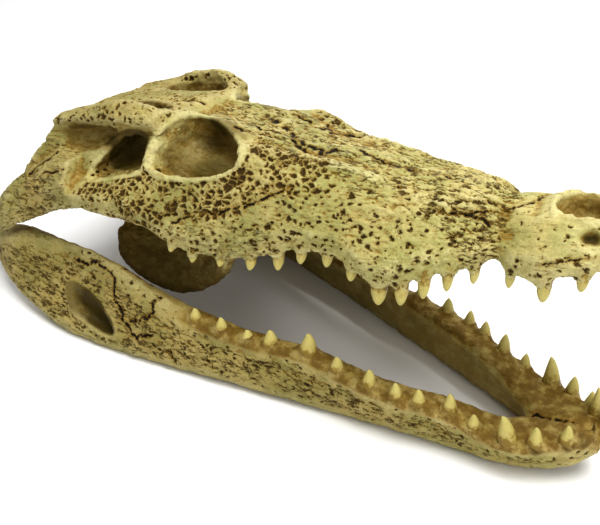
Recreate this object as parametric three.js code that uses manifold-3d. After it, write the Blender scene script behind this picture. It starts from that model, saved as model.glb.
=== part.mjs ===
// Crocodile skull: cranium and lower jaw with the mouth held open, as a life-size
// cast of a half-grown animal. Millimetres. +X runs to the snout, +Y to the
// animal's left, +Z up. The jaw lies on the floor at z = 0; the origin is at the
// middle of the box the skull fills.
//
// Cranium and jaw are each drawn in a level frame of their own, whose origin is
// the middle of the hinge line between the two jaw joints. They are then turned
// about that line and set down on the floor.

import * as THREE from "three";
import { mergeVertices } from "three/addons/utils/BufferGeometryUtils.js";
import Module from "manifold-3d";

const wasm = await Module();
wasm.setup();

// ---------------------------------------------------------------- sizes

const SNOUT_TIP = 356; // hinge line to the front of the snout
const JAW_TIP = 352; // hinge line to the front of the jaw
const HEEL = -44; // rear end of the jaw, behind the hinge
const HINGE_HEIGHT = 50; // hinge line above the floor
const HINGE_HALF = 66; // midline to the middle of a jaw joint
const GAPE = 12.3; // opening between the two tooth rows, degrees
const JAW_PITCH = -1.1; // the jaw's own slope on the floor, degrees
const NOTCH = 299; // the waist behind the premaxilla that takes the long lower tooth
const TABLE_REAR = 30; // rear corners of the flat skull table
const TABLE_FRONT = 118;
const TABLE_HALF = 42;
const GAP = 0.3; // clearance along every suture that parts two bones
const SYMPHYSIS = 318; // rear end of the joint between the two jaw halves
const MID_X = 153.5; // middle of the whole skull's length, from the hinge line
const BIG_TOOTH = 2.75; // radius of a tooth whose bow shows
const TOOTH_BOW = 0.1; // how far a tooth curves forward, as a share of its length
const ROOT_DEPTH = 5; // how deep a tooth's root sits in its bone
const CHEEK_SUTURE = 66; // between quadratojugal and jugal
const BROW_SUTURE = 127; // between skull table and frontal
const FACE_SUTURE = 178; // between frontal and nasals, and between jugal and maxilla
const LIP_SUTURE = NOTCH + 2; // between maxilla and premaxilla
const TABLE_FLOOR = 50.5; // under side of the skull table's bone
const NASAL_HALF = 11; // midline to the edge of the nasals
const FRONTAL_HALF = 20; // midline to the edge of the frontal and the braincase
const DENTARY_SUTURE = 118; // between dentary and surangular
const JOINT_SUTURE = 14; // between surangular and articular
const FAR = 600; // beyond every edge of the skull

const BONE = new THREE.MeshStandardMaterial({ color: 0xcfc489, roughness: 0.62, metalness: 0 });

// ---------------------------------------------------------------- lines

// A smooth line through [station, value] pairs that never overshoots them.
function line(...pairs) {
  const count = pairs.length;
  const slope = [];
  for (let i = 0; i < count - 1; i += 1) {
    slope.push((pairs[i + 1][1] - pairs[i][1]) / (pairs[i + 1][0] - pairs[i][0]));
  }
  const tangent = pairs.map((pair, i) => {
    if (i === 0) return slope[0];
    if (i === count - 1) return slope[count - 2];
    if (slope[i - 1] * slope[i] <= 0) return 0;
    return (2 * slope[i - 1] * slope[i]) / (slope[i - 1] + slope[i]);
  });
  return (x) => {
    const at = Math.min(Math.max(x, pairs[0][0]), pairs[count - 1][0]);
    let i = 0;
    while (i < count - 2 && at > pairs[i + 1][0]) i += 1;
    const step = pairs[i + 1][0] - pairs[i][0];
    const t = (at - pairs[i][0]) / step;
    const s = 1 - t;
    return (
      pairs[i][1] * (1 + 2 * t) * s * s +
      tangent[i] * step * t * s * s +
      pairs[i + 1][1] * t * t * (3 - 2 * t) -
      tangent[i + 1] * step * t * t * s
    );
  };
}

// ---------------------------------------------------------------- solids

const v = (x, y, z) => new THREE.Vector3(x, y, z);

// Turns a closed geometry's faces outwards if they point in.
function outward(geometry) {
  const p = geometry.getAttribute("position");
  const index = geometry.index.array;
  const [a, b, c] = [new THREE.Vector3(), new THREE.Vector3(), new THREE.Vector3()];
  let volume = 0;
  for (let i = 0; i < index.length; i += 3) {
    a.fromBufferAttribute(p, index[i]);
    b.fromBufferAttribute(p, index[i + 1]);
    c.fromBufferAttribute(p, index[i + 2]);
    volume += a.dot(b.cross(c));
  }
  if (volume < 0) {
    for (let i = 0; i < index.length; i += 3) {
      [index[i + 1], index[i + 2]] = [index[i + 2], index[i + 1]];
    }
  }
  return geometry;
}

function solidOf(geometry) {
  const bare = geometry.clone();
  bare.deleteAttribute("normal");
  bare.deleteAttribute("uv");
  const merged = outward(mergeVertices(bare, 1e-4));
  return new wasm.Manifold(
    new wasm.Mesh({
      numProp: 3,
      vertProperties: new Float32Array(merged.getAttribute("position").array),
      triVerts: new Uint32Array(merged.index.array),
    }),
  );
}

function geometryOf(solid) {
  const mesh = solid.getMesh();
  const geometry = new THREE.BufferGeometry();
  geometry.setAttribute("position", new THREE.BufferAttribute(mesh.vertProperties, 3));
  geometry.setIndex(new THREE.BufferAttribute(mesh.triVerts, 1));
  const flat = geometry.toNonIndexed();
  flat.computeVertexNormals();
  return flat;
}

const join = (first, ...others) => others.reduce((sum, next) => sum.add(next), first);
const cut = (solid, ...tools) => tools.reduce((rest, tool) => rest.subtract(tool), solid);

// The same solid on the other side of the skull's mid-plane.
function mirrored(solid) {
  const geometry = geometryOf(solid);
  geometry.applyMatrix4(new THREE.Matrix4().makeScale(1, -1, 1));
  return solidOf(geometry);
}

const both = (solid) => solid.add(mirrored(solid));

// A closed skin over rings that have the same number of points. It ends flat, or
// in a point where a tip is given.
function loft(rings, tip) {
  const around = rings[0].length;
  const points = rings.flat();
  const faces = [];
  for (let r = 0; r < rings.length - 1; r += 1) {
    for (let i = 0; i < around; i += 1) {
      const [a, b] = [r * around + i, r * around + ((i + 1) % around)];
      faces.push(a, b, b + around, a, b + around, a + around);
    }
  }
  const cap = (r, hub, turned) => {
    points.push(hub);
    for (let i = 0; i < around; i += 1) {
      const [a, b] = [r * around + i, r * around + ((i + 1) % around)];
      faces.push(points.length - 1, turned ? b : a, turned ? a : b);
    }
  };
  const middleOf = (all) => all.reduce((sum, q) => sum.addScaledVector(q, 1 / around), v(0, 0, 0));
  cap(0, middleOf(rings[0]), true);
  cap(rings.length - 1, tip ?? middleOf(rings[rings.length - 1]), false);
  const geometry = new THREE.BufferGeometry().setFromPoints(points);
  geometry.setIndex(faces);
  return solidOf(geometry);
}

// A ring through the given corners, with a point of the rounded curve between two
// corners wherever isRound says so.
function ring(corners, isRound) {
  const curve = new THREE.CatmullRomCurve3(corners, true, "catmullrom", 0.42);
  const points = [];
  corners.forEach((corner, i) => {
    points.push(corner);
    if (isRound(i)) points.push(curve.getPoint((i + 0.5) / corners.length));
  });
  return points;
}

// A ring in the plane of one station, from [y, z] corners of one half. The sides
// after the first, up to the given one, are rounded.
function mirrorRing(x, half, rounded = 0) {
  const left = half.map(([y, z]) => v(x, y, z));
  const right = half
    .slice(1, -1)
    .reverse()
    .map(([y, z]) => v(x, -y, z));
  const corners = [...left, ...right];
  const mirroredSide = (i) => Math.min(i, corners.length - 1 - i);
  return ring(corners, (i) => mirroredSide(i) > 0 && mirroredSide(i) < rounded);
}

const sideRing = (x, corners, rounded = 0) =>
  ring(corners.map(([y, z]) => v(x, y, z)), (i) => i < rounded);

// A box between two [x, y, z] corners.
function box(from, to) {
  const geometry = new THREE.BoxGeometry(...to.map((n, i) => n - from[i]));
  geometry.translate(...to.map((n, i) => (n + from[i]) / 2));
  return solidOf(geometry);
}

// An egg-shaped outline of the given half sizes along two directions.
function oval(at, along, across, sides, egg = 0) {
  return Array.from({ length: sides }, (_, i) => {
    const [c, s] = [Math.cos((i / sides) * Math.PI * 2), Math.sin((i / sides) * Math.PI * 2)];
    return at.clone().addScaledVector(along, c).addScaledVector(across, s * (1 - egg * c));
  });
}

// An outline through a few corners of a rim, rounded between them if asked.
const rimOf = (corners, round = false) => ring(corners.map(([x, y, z]) => v(x, y, z)), () => round);

// A blind hollow under a rim: it reaches out past the rim by the lip, and narrows
// inwards to a floor at the given depth, round like a bowl or straight as a pit.
function hollow(rim, inward, depth, lip, floor = 0.7, shape = "bowl") {
  const middle = v(0, 0, 0);
  rim.forEach((point) => middle.addScaledVector(point, 1 / rim.length));
  const level = (scale, sink) =>
    rim.map((point) =>
      middle
        .clone()
        .addScaledVector(point.clone().sub(middle), scale)
        .addScaledVector(inward, sink),
    );
  const shoulder = 0.6 + 0.4 * floor;
  const levels = [level(1.12, -lip), level(1, 0)];
  if (shape === "bowl") levels.push(level(shoulder, depth * 0.75), level(floor * 0.8, depth));
  else levels.push(level(floor, depth));
  return loft(levels);
}

// ---------------------------------------------------------------- teeth

// A curved, pointed cone from its root to its tip, leaning back towards the tip.
function tooth(root, tip, radius) {
  const steps = radius > BIG_TOOTH ? 2 : 1; // rings below the tip
  const sides = radius > BIG_TOOTH ? 5 : 4;
  const axis = new THREE.Vector3().subVectors(tip, root);
  const length = axis.length();
  axis.normalize();
  const forward = v(1, 0, 0).addScaledVector(axis, -axis.x).normalize();
  const outside = new THREE.Vector3().crossVectors(axis, forward);
  const rings = [];
  for (let k = 0; k < steps; k += 1) {
    const t = k / steps;
    const r = radius * (1 - t ** 1.6);
    const middle = root.clone().addScaledVector(axis, t * length);
    middle.addScaledVector(forward, TOOTH_BOW * length * 2 * t * (1 - t));
    rings.push(
      Array.from({ length: sides }, (_, i) => {
        const a = (i / sides) * Math.PI * 2;
        const point = middle.clone().addScaledVector(forward, Math.cos(a) * r);
        return point.addScaledVector(outside, Math.sin(a) * r * 0.86);
      }),
    );
  }
  return loft(rings, tip);
}

// ---------------------------------------------------------------- cranium lines

const roofZ = line(
  [28, 55], [60, 55], [100, 54], [130, 54], [150, 52], [175, 46], [200, 41], [225, 37.5], [262, 31],
  [286, 29], [296, 25], [306, 23.5], [330, 24], [342, 21], [350, 15], [SNOUT_TIP, 6],
);
// The edge where the roof turns down into the cheek: the table's edge, the orbit's
// inner rim, then the shoulder of the snout.
const ridgeY = line(
  [28, 38], [95, 38], [112, 34], [125, 15], [155, 15], [175, 20], [200, 20], [250, 17], [286, 14],
  [NOTCH, 10], [325, 14], [342, 12], [350, 8], [SNOUT_TIP, 3],
);
const ridgeZ = line(
  [28, 52], [95, 53], [112, 56], [125, 55.5], [150, 53.5], [175, 47], [200, 40.5], [225, 35], [262, 28.5],
  [286, 26], [NOTCH, 20.5], [325, 22.5], [342, 19.5], [350, 14], [SNOUT_TIP, 5.5],
);
// The middle of the face: outer rim of the orbit, then the flank of the snout.
const flankY = line(
  [28, 50], [70, 51], [112, 47], [150, 44], [175, 37], [200, 33], [225, 31], [250, 31], [280, 24],
  [NOTCH, 16.5], [325, 22], [342, 19], [350, 12.5], [SNOUT_TIP, 4.5],
);
const flankZ = line(
  [28, 32], [70, 30], [112, 34], [150, 34], [175, 43], [200, 33], [225, 26], [250, 22], [280, 18],
  [NOTCH, 14], [325, 16], [342, 14], [350, 10], [SNOUT_TIP, 4],
);
// The widest part, just above the tooth row or the lower edge of the cheek bar.
const sideY = line(
  [28, 66], [70, 64], [107, 61.5], [130, 60.5], [150, 58], [180, 50], [200, 45], [225, 42], [250, 44.5],
  [268, 41], [285, 29], [NOTCH, 22.5], [310, 26], [325, 28.5], [338, 26], [348, 17], [353, 11],
  [SNOUT_TIP, 5],
);
const edgeZ = line(
  [28, 4], [50, 10], [66, 13], [80, 11], [92, 9.5], [107, 9.5], [120, 4], [146, -5], [165, -7],
  [180, -7], [193, -3], [208, 0], [222, 0], [235, -4], [250, -10], [262, -9.5], [275, -5], [290, -4],
  [NOTCH, 0.5], [306, -3], [320, -4], [332, 0.5], [340, 1.5], [350, 2.5], [SNOUT_TIP, 3],
);
const palateZ = line(
  [28, 8], [60, 4], [100, 0], [130, 1], [165, 3], [200, 6], [230, 3], [262, 0], [299, 4], [330, 3],
  [350, 1], [SNOUT_TIP, 1.5],
);

// One cross-section of the skull from the roof's midline to the palate's.
function craniumRing(x) {
  const side = sideY(x);
  const edge = edgeZ(x);
  const rim = Math.min(7, side * 0.35);
  return mirrorRing(x, [
    [0, roofZ(x)],
    [ridgeY(x), ridgeZ(x)],
    [flankY(x), flankZ(x)],
    [side - 0.5, edge + Math.min(9, (flankZ(x) - edge) * 0.45)],
    [side - 1.6, edge],
    [side - rim * 1.6, palateZ(x) * 0.35 + edge * 0.65 + 0.8],
    [0, palateZ(x)],
  ], 3);
}

function mainBody() {
  const stations = [28, 50, 68, 86, 104, 116, 128, 144, 159, 172, 186, 204, 222, 236, 248, 260, 273, 287];
  stations.push(NOTCH, 308, 320, 331, 341, 348, 353, SNOUT_TIP);
  return loft(stations.map(craniumRing));
}

// The flat table behind the orbits: parietal, squamosals and postorbitals.
function skullTable() {
  const halfWidth = line([TABLE_REAR, 41], [60, 42], [105, 42], [TABLE_FRONT, 39], [126, 20]);
  const top = line([TABLE_REAR, 58], [80, 60.5], [TABLE_FRONT, 59.5], [126, 56]);
  const rimLift = line([TABLE_REAR, 0], [60, 1.5], [82, 7], [102, 7.5], [TABLE_FRONT, 1], [126, 0]);
  const stations = [TABLE_REAR, 34, 50, 68, 80, 92, 104, 113, TABLE_FRONT, 122, 126];
  const rings = stations.map((x, k) => {
    const half = halfWidth(x);
    const thick = k === 0 ? 4 : 8;
    const lift = k === 0 ? -2 : 0;
    const z = top(x) + lift;
    return mirrorRing(x, [
      [0, z + 1.5],
      [half * 0.5, z],
      [half * 0.83, z + 0.5 + rimLift(x)],
      [half, z - thick * 0.3 + rimLift(x) * 0.2],
      [half - 3, z - thick],
      [0, z - thick - 2],
    ], 3);
  });
  // The rear edge bows forward between the two corners.
  const bow = 9;
  rings.slice(0, 2).forEach((points) => {
    points.forEach((point) => {
      point.x += bow * Math.max(0, 1 - Math.abs(point.y) / TABLE_HALF) ** 1.3;
    });
  });
  return loft(rings);
}

// Quadrate and quadratojugal of one side, ending in the jaw joint's head.
function quadrate() {
  const stations = [60, 45, 30, 18, 8, 0, -5, -8];
  const inner = line([-8, 58], [0, 54], [8, 50], [18, 43], [30, 34], [45, 26], [60, 24]);
  const outer = line([-8, 73], [-5, 75.5], [0, 76.5], [18, 70.5], [45, 66], [60, 64.5]);
  const top = line([-8, 6], [-5, 12], [0, 18], [8, 25], [18, 30], [30, 37], [45, 46], [60, 50]);
  const bottom = line([-8, -2], [-5, -5], [0, -6.5], [8, -3], [18, 0], [35, 6], [50, 11], [60, 13]);
  return loft(
    stations.map((x) => {
      const [a, b, t, u] = [inner(x), outer(x), top(x), bottom(x)];
      return sideRing(x, [
        [a, t - (t - u) * 0.2],
        [a + (b - a) * 0.35, t],
        [a + (b - a) * 0.75, t - (t - u) * 0.22],
        [b, u + (t - u) * 0.35],
        [b - 2, u],
        [a + (b - a) * 0.5, u + 2],
        [a, u + 1],
      ], 3);
    }),
  );
}

// The wing of squamosal and paroccipital process that stands behind the ear recess.
function earWing() {
  const stations = [44, 33, 25, 17, 12, 8];
  const inner = line([8, 53], [12, 49], [17, 42], [25, 32], [33, 20], [44, 16]);
  const outer = line([8, 56], [12, 56], [17, 53], [25, 48.5], [33, 44], [44, 41]);
  const top = line([8, 26], [12, 32], [17, 37], [25, 45], [33, 54], [44, 57]);
  const bottom = line([8, 14], [12, 12], [17, 16], [25, 24], [33, 26], [44, 26]);
  return loft(
    stations.map((x) => {
      const [a, b, t, u] = [inner(x), outer(x), top(x), bottom(x)];
      return sideRing(x, [[a, t - 3], [b - 3, t], [b, t - (t - u) * 0.4], [b - 2, u], [a, u]]);
    }),
  );
}

// The back of the braincase, down to the ball that meets the neck.
function occiput() {
  const stations = [60, 40, 30, 26];
  const half = line([26, 22], [30, 26], [60, 26]);
  const wall = loft(
    stations.map((x) =>
      mirrorRing(x, [[0, 54], [half(x), 50], [half(x), 34], [half(x) * 0.55, 12], [0, -8]]),
    ),
  );
  const ball = new THREE.SphereGeometry(8, 8, 5);
  ball.scale(1, 1.1, 0.9);
  ball.translate(22, 0, 25);
  const neck = mirrorRing(24, [[0, 31], [6, 26], [0, 19]]);
  const stem = loft([neck, mirrorRing(40, [[0, 33], [11, 22], [0, 8]])]);
  return join(wall, solidOf(ball), stem);
}

// The wing of pterygoid and ectopterygoid that hangs inside the jaw on one side.
function flange() {
  const stations = [62, 70, 84, 99, 113, 127, 140, 153, 166];
  const innerY = line([62, 22], [84, 12], [112, 10], [138, 14], [166, 30]);
  const innerZ = line([62, -8], [84, -4], [112, 0], [138, 0], [166, 0]);
  const outerY = line([62, 36], [70, 45], [84, 47], [112, 43], [138, 40], [152, 42], [166, 48]);
  const outerZ = line(
    [62, -18], [70, -27], [84, -34], [104, -42], [114, -43], [138, -34], [154, -22], [166, -8],
  );
  const thick = line([62, 4], [84, 7], [112, 8], [138, 8], [166, 8]);
  return loft(
    stations.map((x) => {
      const [a, b, c, d, t] = [innerY(x), innerZ(x), outerY(x), outerZ(x), thick(x)];
      return sideRing(x, [
        [a, b + t],
        [a, b - t * 0.5],
        [c - 4, d],
        [c, d + 1.5],
        [c + 0.5, d + 7],
        [(a + c) / 2 + 3, (b + d) / 2 + t],
      ]);
    }),
  );
}

// The raised collar round the nostril opening.
function nostrilCollar() {
  const collar = new THREE.TorusGeometry(1, 0.26, 4, 14);
  collar.scale(15.5, 13, 9);
  collar.rotateY(THREE.MathUtils.degToRad(4));
  collar.translate(333, 0, 20.5);
  return solidOf(collar);
}

// ---------------------------------------------------------------- hollows

function orbit() {
  const rim = rimOf([
    [126, 15.5, 55.5], [119.5, 26, 55.5], [117, 37, 50], [116.5, 46.5, 35], [140, 46.5, 32.5],
    [165, 43.5, 36.5], [174, 36.5, 43.5], [161, 26, 50], [143, 17, 54.5],
  ], true);
  return hollow(rim, v(-0.05, -0.6, -0.8), 20, 12, 0.72);
}

function cheekOpening() {
  const rim = rimOf([
    [104, 40, 50.5], [109, 42, 47], [109.5, 47, 34], [106, 48, 32], [90, 50.5, 28.5], [73, 52, 26],
    [70, 50.5, 31], [92, 40, 49],
  ]);
  return hollow(rim, v(0.15, -0.93, 0.15), 20, 14, 0.75);
}

function earRecess() {
  const rim = rimOf([
    [38, 46, 51], [62, 43, 53], [88, 41, 53.5], [87, 43, 48], [72, 47, 41], [56, 50, 38], [40, 50, 40],
  ]);
  return hollow(rim, v(0.1, -0.98, 0.1), 10, 12, 0.75);
}

function tableOpening() {
  const rim = oval(v(91, 22.5, 62), v(23, 1, 0), v(0, 10.5, 2.5), 12, 0.08);
  return hollow(rim, v(0, 0, -1), 16, 9, 0.66);
}

// The space for the jaw muscles, open below between cheek bar and braincase.
function muscleSpace() {
  return hollow(oval(v(80, 40, 6), v(33, -3, 0), v(0, 11, 0), 10, 0.1), v(0, 0, 1), 15, 16, 0.7, "pit");
}

function palateOpening() {
  return hollow(oval(v(164, 27, 2), v(30, -6, 0), v(0, 10, 0), 10, 0.2), v(0, 0, 1), 12, 8, 0.7, "pit");
}

function nostril() {
  return hollow(oval(v(333.5, 0, 23), v(15, 0, -1.5), v(0, 13.5, 0), 12, 0.1), v(0, 0, -1), 13, 10, 0.75);
}

function toothPit() {
  return hollow(oval(v(341, 0, 1), v(6, 0, 0), v(0, 5, 0), 8), v(0, 0, 1), 6, 10, 0.6, "pit");
}

function choana() {
  return hollow(oval(v(86, 0, -4), v(9, 0, 1), v(0, 7, 0), 8), v(0, 0, 1), 10, 24, 0.7, "pit");
}

function foramenMagnum() {
  return hollow(oval(v(24, 0, 38), v(0, 8, 0), v(0, 0, 5.5), 8), v(1, 0, 0), 20, 20, 0.7, "pit");
}

// ---------------------------------------------------------------- cranium teeth

// [place along the skull, length of the crown, radius at the gum]
const UPPER_TEETH = [
  [351, 6, 1.7], [347, 6.5, 1.9], [338.5, 7, 2.4], [323, 9, 2.9], [307, 7, 2.1],
  [290.5, 7, 2.1], [280.5, 9, 2.4], [272, 10, 2.7], [262, 10, 3], [250.5, 11, 3.7],
  [236, 7.5, 2.7], [222, 7.5, 2.6], [207.5, 7.5, 2.6], [194, 9.5, 2.9], [179, 6, 2.6],
  [163, 4.5, 2.2], [147, 5, 2.2], [134, 4, 2],
];

function upperTeeth() {
  return UPPER_TEETH.map(([x, length, radius]) => {
    const edge = edgeZ(x);
    const y = sideY(x) - 1.2 - radius;
    const lean = Math.min(1.6, y * 0.1);
    return tooth(v(x, y, edge + ROOT_DEPTH - 1), v(x - 1, y + lean, edge - length), radius);
  });
}

// ---------------------------------------------------------------- jaw lines

const jawOuterTop = line(
  [HEEL, 60], [-20, 68], [0, 72], [12, 70], [26, 65], [45, 63], [78, 63.5], [100, 65], [120, 65],
  [150, 61], [180, 55], [210, 47], [241, 45], [265, 42], [290, 33], [310, 32], [325, 28], [338, 20],
  [346, 12], [JAW_TIP, 3],
);
const jawOuterLow = line(
  [HEEL, 58], [-20, 68], [0, 76], [30, 82], [60, 84], [90, 80], [115, 75.5], [151, 66], [170, 61],
  [213, 49.5], [241, 41.5], [290, 29], [326, 19], [340, 13], [347, 8.5], [JAW_TIP, 2.5],
);
const jawInner = line(
  [HEEL, 53], [-20, 52], [0, 54], [30, 55], [60, 57], [90, 55], [120, 51], [150, 46], [180, 41],
  [210, 34], [241, 30], [265, 24], [290, 15], [305, 9], [SYMPHYSIS, -2], [JAW_TIP, -3],
);
const jawTop = line(
  [HEEL, -12], [-28, -16], [-12, -13], [-4, -9], [8, -5.5], [25, -6], [45, -3.5], [66, -1], [84, -2],
  [120, -9], [146, -13], [180, -15], [210, -13], [240, -16], [270, -17], [290, -18], [305, -23],
  [320, -22], [335, -18], [346, -16], [JAW_TIP, -21],
);
const jawLow = line(
  [HEEL, -24], [-25, -34], [0, -42], [25, -46.5], [45, -48.5], [78, -50.5], [112, -48.3], [151, -46.6],
  [241, -44.8], [285, -44.2], [304, -44.8], [322, -43], [335, -40], [345, -35], [JAW_TIP, -27],
);

// One cross-section of a jaw half, from its top edge round the outside.
function jawRing(x) {
  const [top, low] = [jawTop(x), jawLow(x)];
  const [outTop, outLow, inner] = [jawOuterTop(x), jawOuterLow(x), jawInner(x)];
  const height = top - low;
  const thick = outTop - inner;
  return sideRing(x, [
    [outTop - thick * 0.35, top],
    [outTop, top - height * 0.12],
    [(outTop + outLow) / 2 + 1, top - height * 0.5],
    [outLow, low + height * 0.16],
    [outLow - 3.5, low],
    [outLow - 8, low + 1.5],
    [Math.max(outLow - 12, inner), low + height * 0.3],
    [inner, top - height * 0.2],
    [inner + thick * 0.2, top - 0.5],
  ], 1);
}

function jawHalf() {
  const stations = [HEEL, -34, -20, -8, 4, 20, 44, 66, 90, 115, 140, 165, 188, 211, 230, 248, 265];
  stations.push(284, 297, 308, 317, 326, 336, 344, JAW_TIP);
  return loft(stations.map(jawRing));
}

// The cup of the jaw joint, cleared round the head of the quadrate.
function jointCup() {
  const cup = new THREE.CylinderGeometry(11.5, 11.5, 30, 12);
  cup.translate(0, HINGE_HALF, 2);
  return solidOf(cup);
}

function jawOpening() {
  const rim = oval(v(78, 77.5, -28.5), v(21, -2, -7), v(-1.5, 0.5, 8), 12);
  return hollow(rim, v(-0.1, -0.98, -0.1), 6.5, 12, 0.8);
}

// The long hollow inside the rear of the jaw where its muscle goes in.
function jawHollow() {
  const rim = oval(v(84, 58, -24), v(46, -4, -4), v(0, 3, 11), 10);
  return hollow(rim, v(0, 1, 0), 3.5, 16, 0.7, "pit");
}

// [place, length of the crown, radius, sideways lean, backward lean]
const LOWER_TEETH = [
  [347, 20, 3.4, 0.3, 3], [340.5, 10, 2.7, 0.8, 1], [328, 11, 2.8, 1.5, 1], [317, 15, 3.7, 3, 5],
  [300, 9, 2.4, 2, 1], [287, 11, 2.6, 2, 1], [273, 9, 2.5, 1.5, 1], [262, 9, 2.4, 1.5, 1],
  [247.5, 10, 2.7, 1, 1], [229, 8, 2.6, 1, 1], [211, 12, 3.4, 1, 1], [190.5, 9, 3, 1, 1],
  [178, 6, 2.6, 0.5, 1], [162.5, 8, 2.6, 0.5, 1], [146.5, 7, 2.5, 0.5, 1],
];

function lowerTeeth() {
  return LOWER_TEETH.map(([x, length, radius, lean, back]) => {
    const y = Math.max(jawOuterTop(x) - 1 - radius, radius + 0.6);
    const top = jawTop(x);
    return tooth(v(x, y, top - ROOT_DEPTH), v(x - back, y + lean, top + length - 1), radius);
  });
}

// ---------------------------------------------------------------- whole solids

function cranium() {
  const bones = join(mainBody(), skullTable(), occiput(), nostrilCollar());
  const sides = join(both(quadrate()), both(earWing()), both(flange()));
  const hollows = [orbit, cheekOpening, earRecess, tableOpening, muscleSpace, palateOpening];
  let solid = cut(join(bones, sides), nostril(), toothPit(), choana(), foramenMagnum());
  hollows.forEach((make) => {
    solid = cut(solid, both(make()));
  });
  return join(solid, ...upperTeeth().map(both));
}

// The left half of the lower jaw, clear of the mid-plane and of the jaw joint's head.
function jaw() {
  const bone = cut(jawHalf(), jointCup(), jawOpening(), jawHollow());
  const beyondMiddle = box([-FAR, -FAR, -FAR], [FAR, GAP / 2, FAR]);
  return cut(join(bone, ...lowerTeeth()), beyondMiddle);
}

// ---------------------------------------------------------------- placing

// What lies below the floor, in the jaw's own frame.
function placedFloor() {
  const slab = new THREE.BoxGeometry(2 * FAR, 2 * FAR, 20);
  slab.translate(0, 0, -10);
  slab.applyMatrix4(jawPlace.clone().invert());
  return solidOf(slab);
}

const turn = (degrees) => new THREE.Matrix4().makeRotationY(THREE.MathUtils.degToRad(-degrees));
const set = new THREE.Matrix4().makeTranslation(-MID_X, 0, HINGE_HEIGHT);
const skullPlace = set.clone().multiply(turn(GAPE + JAW_PITCH));
const jawPlace = set.clone().multiply(turn(JAW_PITCH));

// ---------------------------------------------------------------- bones

const skull = new THREE.Group();

function add(name, solid, place) {
  const geometry = geometryOf(solid);
  geometry.applyMatrix4(place);
  const mesh = new THREE.Mesh(geometry, BONE.clone());
  mesh.name = name;
  skull.add(mesh);
}

// Takes the bones off a solid one after another, each inside its own boxes, and
// leaves a suture's gap round what it took. The last bone is what remains.
function part(whole, bones, lastName, place) {
  let rest = whole;
  bones.forEach(([name, ...boxes]) => {
    const region = join(...boxes.map(([from, to]) => box(from, to)));
    const wider = boxes.map(([from, to]) => box(from.map((n) => n - GAP), to.map((n) => n + GAP)));
    add(name, rest.intersect(region), place);
    rest = cut(rest, join(...wider));
  });
  add(lastName, rest, place);
}

// The boxes of a bone on the left side, and the same on the right.
function pair(name, ...boxes) {
  const flipped = boxes.map(([[x0, y0, z0], [x1, y1, z1]]) => [[x0, -y1, z0], [x1, -y0, z1]]);
  return [[`${name}_left`, ...boxes], [`${name}_right`, ...flipped]];
}

const rearOf = (x) => [[-FAR, -FAR, -FAR], [x, FAR, FAR]];
const frontOf = (x) => [[x, -FAR, -FAR], [FAR, FAR, FAR]];

part(
  cranium(),
  [
    ["premaxilla", frontOf(LIP_SUTURE)],
    ["skull_table", [[-FAR, -FAR, TABLE_FLOOR], [BROW_SUTURE, FAR, FAR]]],
    ["nasals", [[FACE_SUTURE, -NASAL_HALF, 14], [LIP_SUTURE, NASAL_HALF, FAR]]],
    ["frontal", [[BROW_SUTURE, -FRONTAL_HALF, 30], [FACE_SUTURE, FRONTAL_HALF, FAR]]],
    [
      "pterygoids",
      [[40, -FRONTAL_HALF, -FAR], [FACE_SUTURE, FRONTAL_HALF, 6]],
      [[55, -52, -FAR], [124, 52, -1]],
      [[123, -45, -FAR], [150, 45, -1]],
      [[149, -41, -FAR], [166, 41, -1]],
    ],
    ...pair(
      "maxilla",
      [[FACE_SUTURE, 0, -FAR], [LIP_SUTURE, FAR, FAR]],
      [[126, FRONTAL_HALF, -FAR], [FACE_SUTURE + 1, FAR, 9]],
    ),
    ...pair("quadrate", [[-FAR, 24, -FAR], [CHEEK_SUTURE, FAR, FAR]]),
    ...pair("jugal", [[CHEEK_SUTURE, FRONTAL_HALF, -FAR], [FACE_SUTURE, FAR, FAR]]),
  ],
  "braincase",
  skullPlace,
);

const jawBones = (side) => [
  [`dentary_${side}`, frontOf(DENTARY_SUTURE)],
  [`articular_${side}`, rearOf(JOINT_SUTURE)],
];
const floor = placedFloor();
const leftJaw = cut(jaw(), floor);
part(leftJaw, jawBones("left"), "surangular_left", jawPlace);
part(mirrored(leftJaw), jawBones("right"), "surangular_right", jawPlace);

export default skull;
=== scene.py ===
# %% [markdown]
# # A crocodile skull, dressed in Blender
# The frame holds the skull's eighteen bones as plain, faceted solids of the right
# size. This lesson gives them the surface of a painted cast of real bone: rounded
# forms, deep pits, sutures and cracks, a brown wash that is partly painted shade in
# every hollow, raised parts lighter for wear and a painted highlight, and teeth with
# worn enamel. Lengths are in millimetres until they become vertices, which Blender
# keeps in metres.

import bmesh
import bpy
import numpy as np
from mathutils import Matrix, Vector, kdtree


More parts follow.
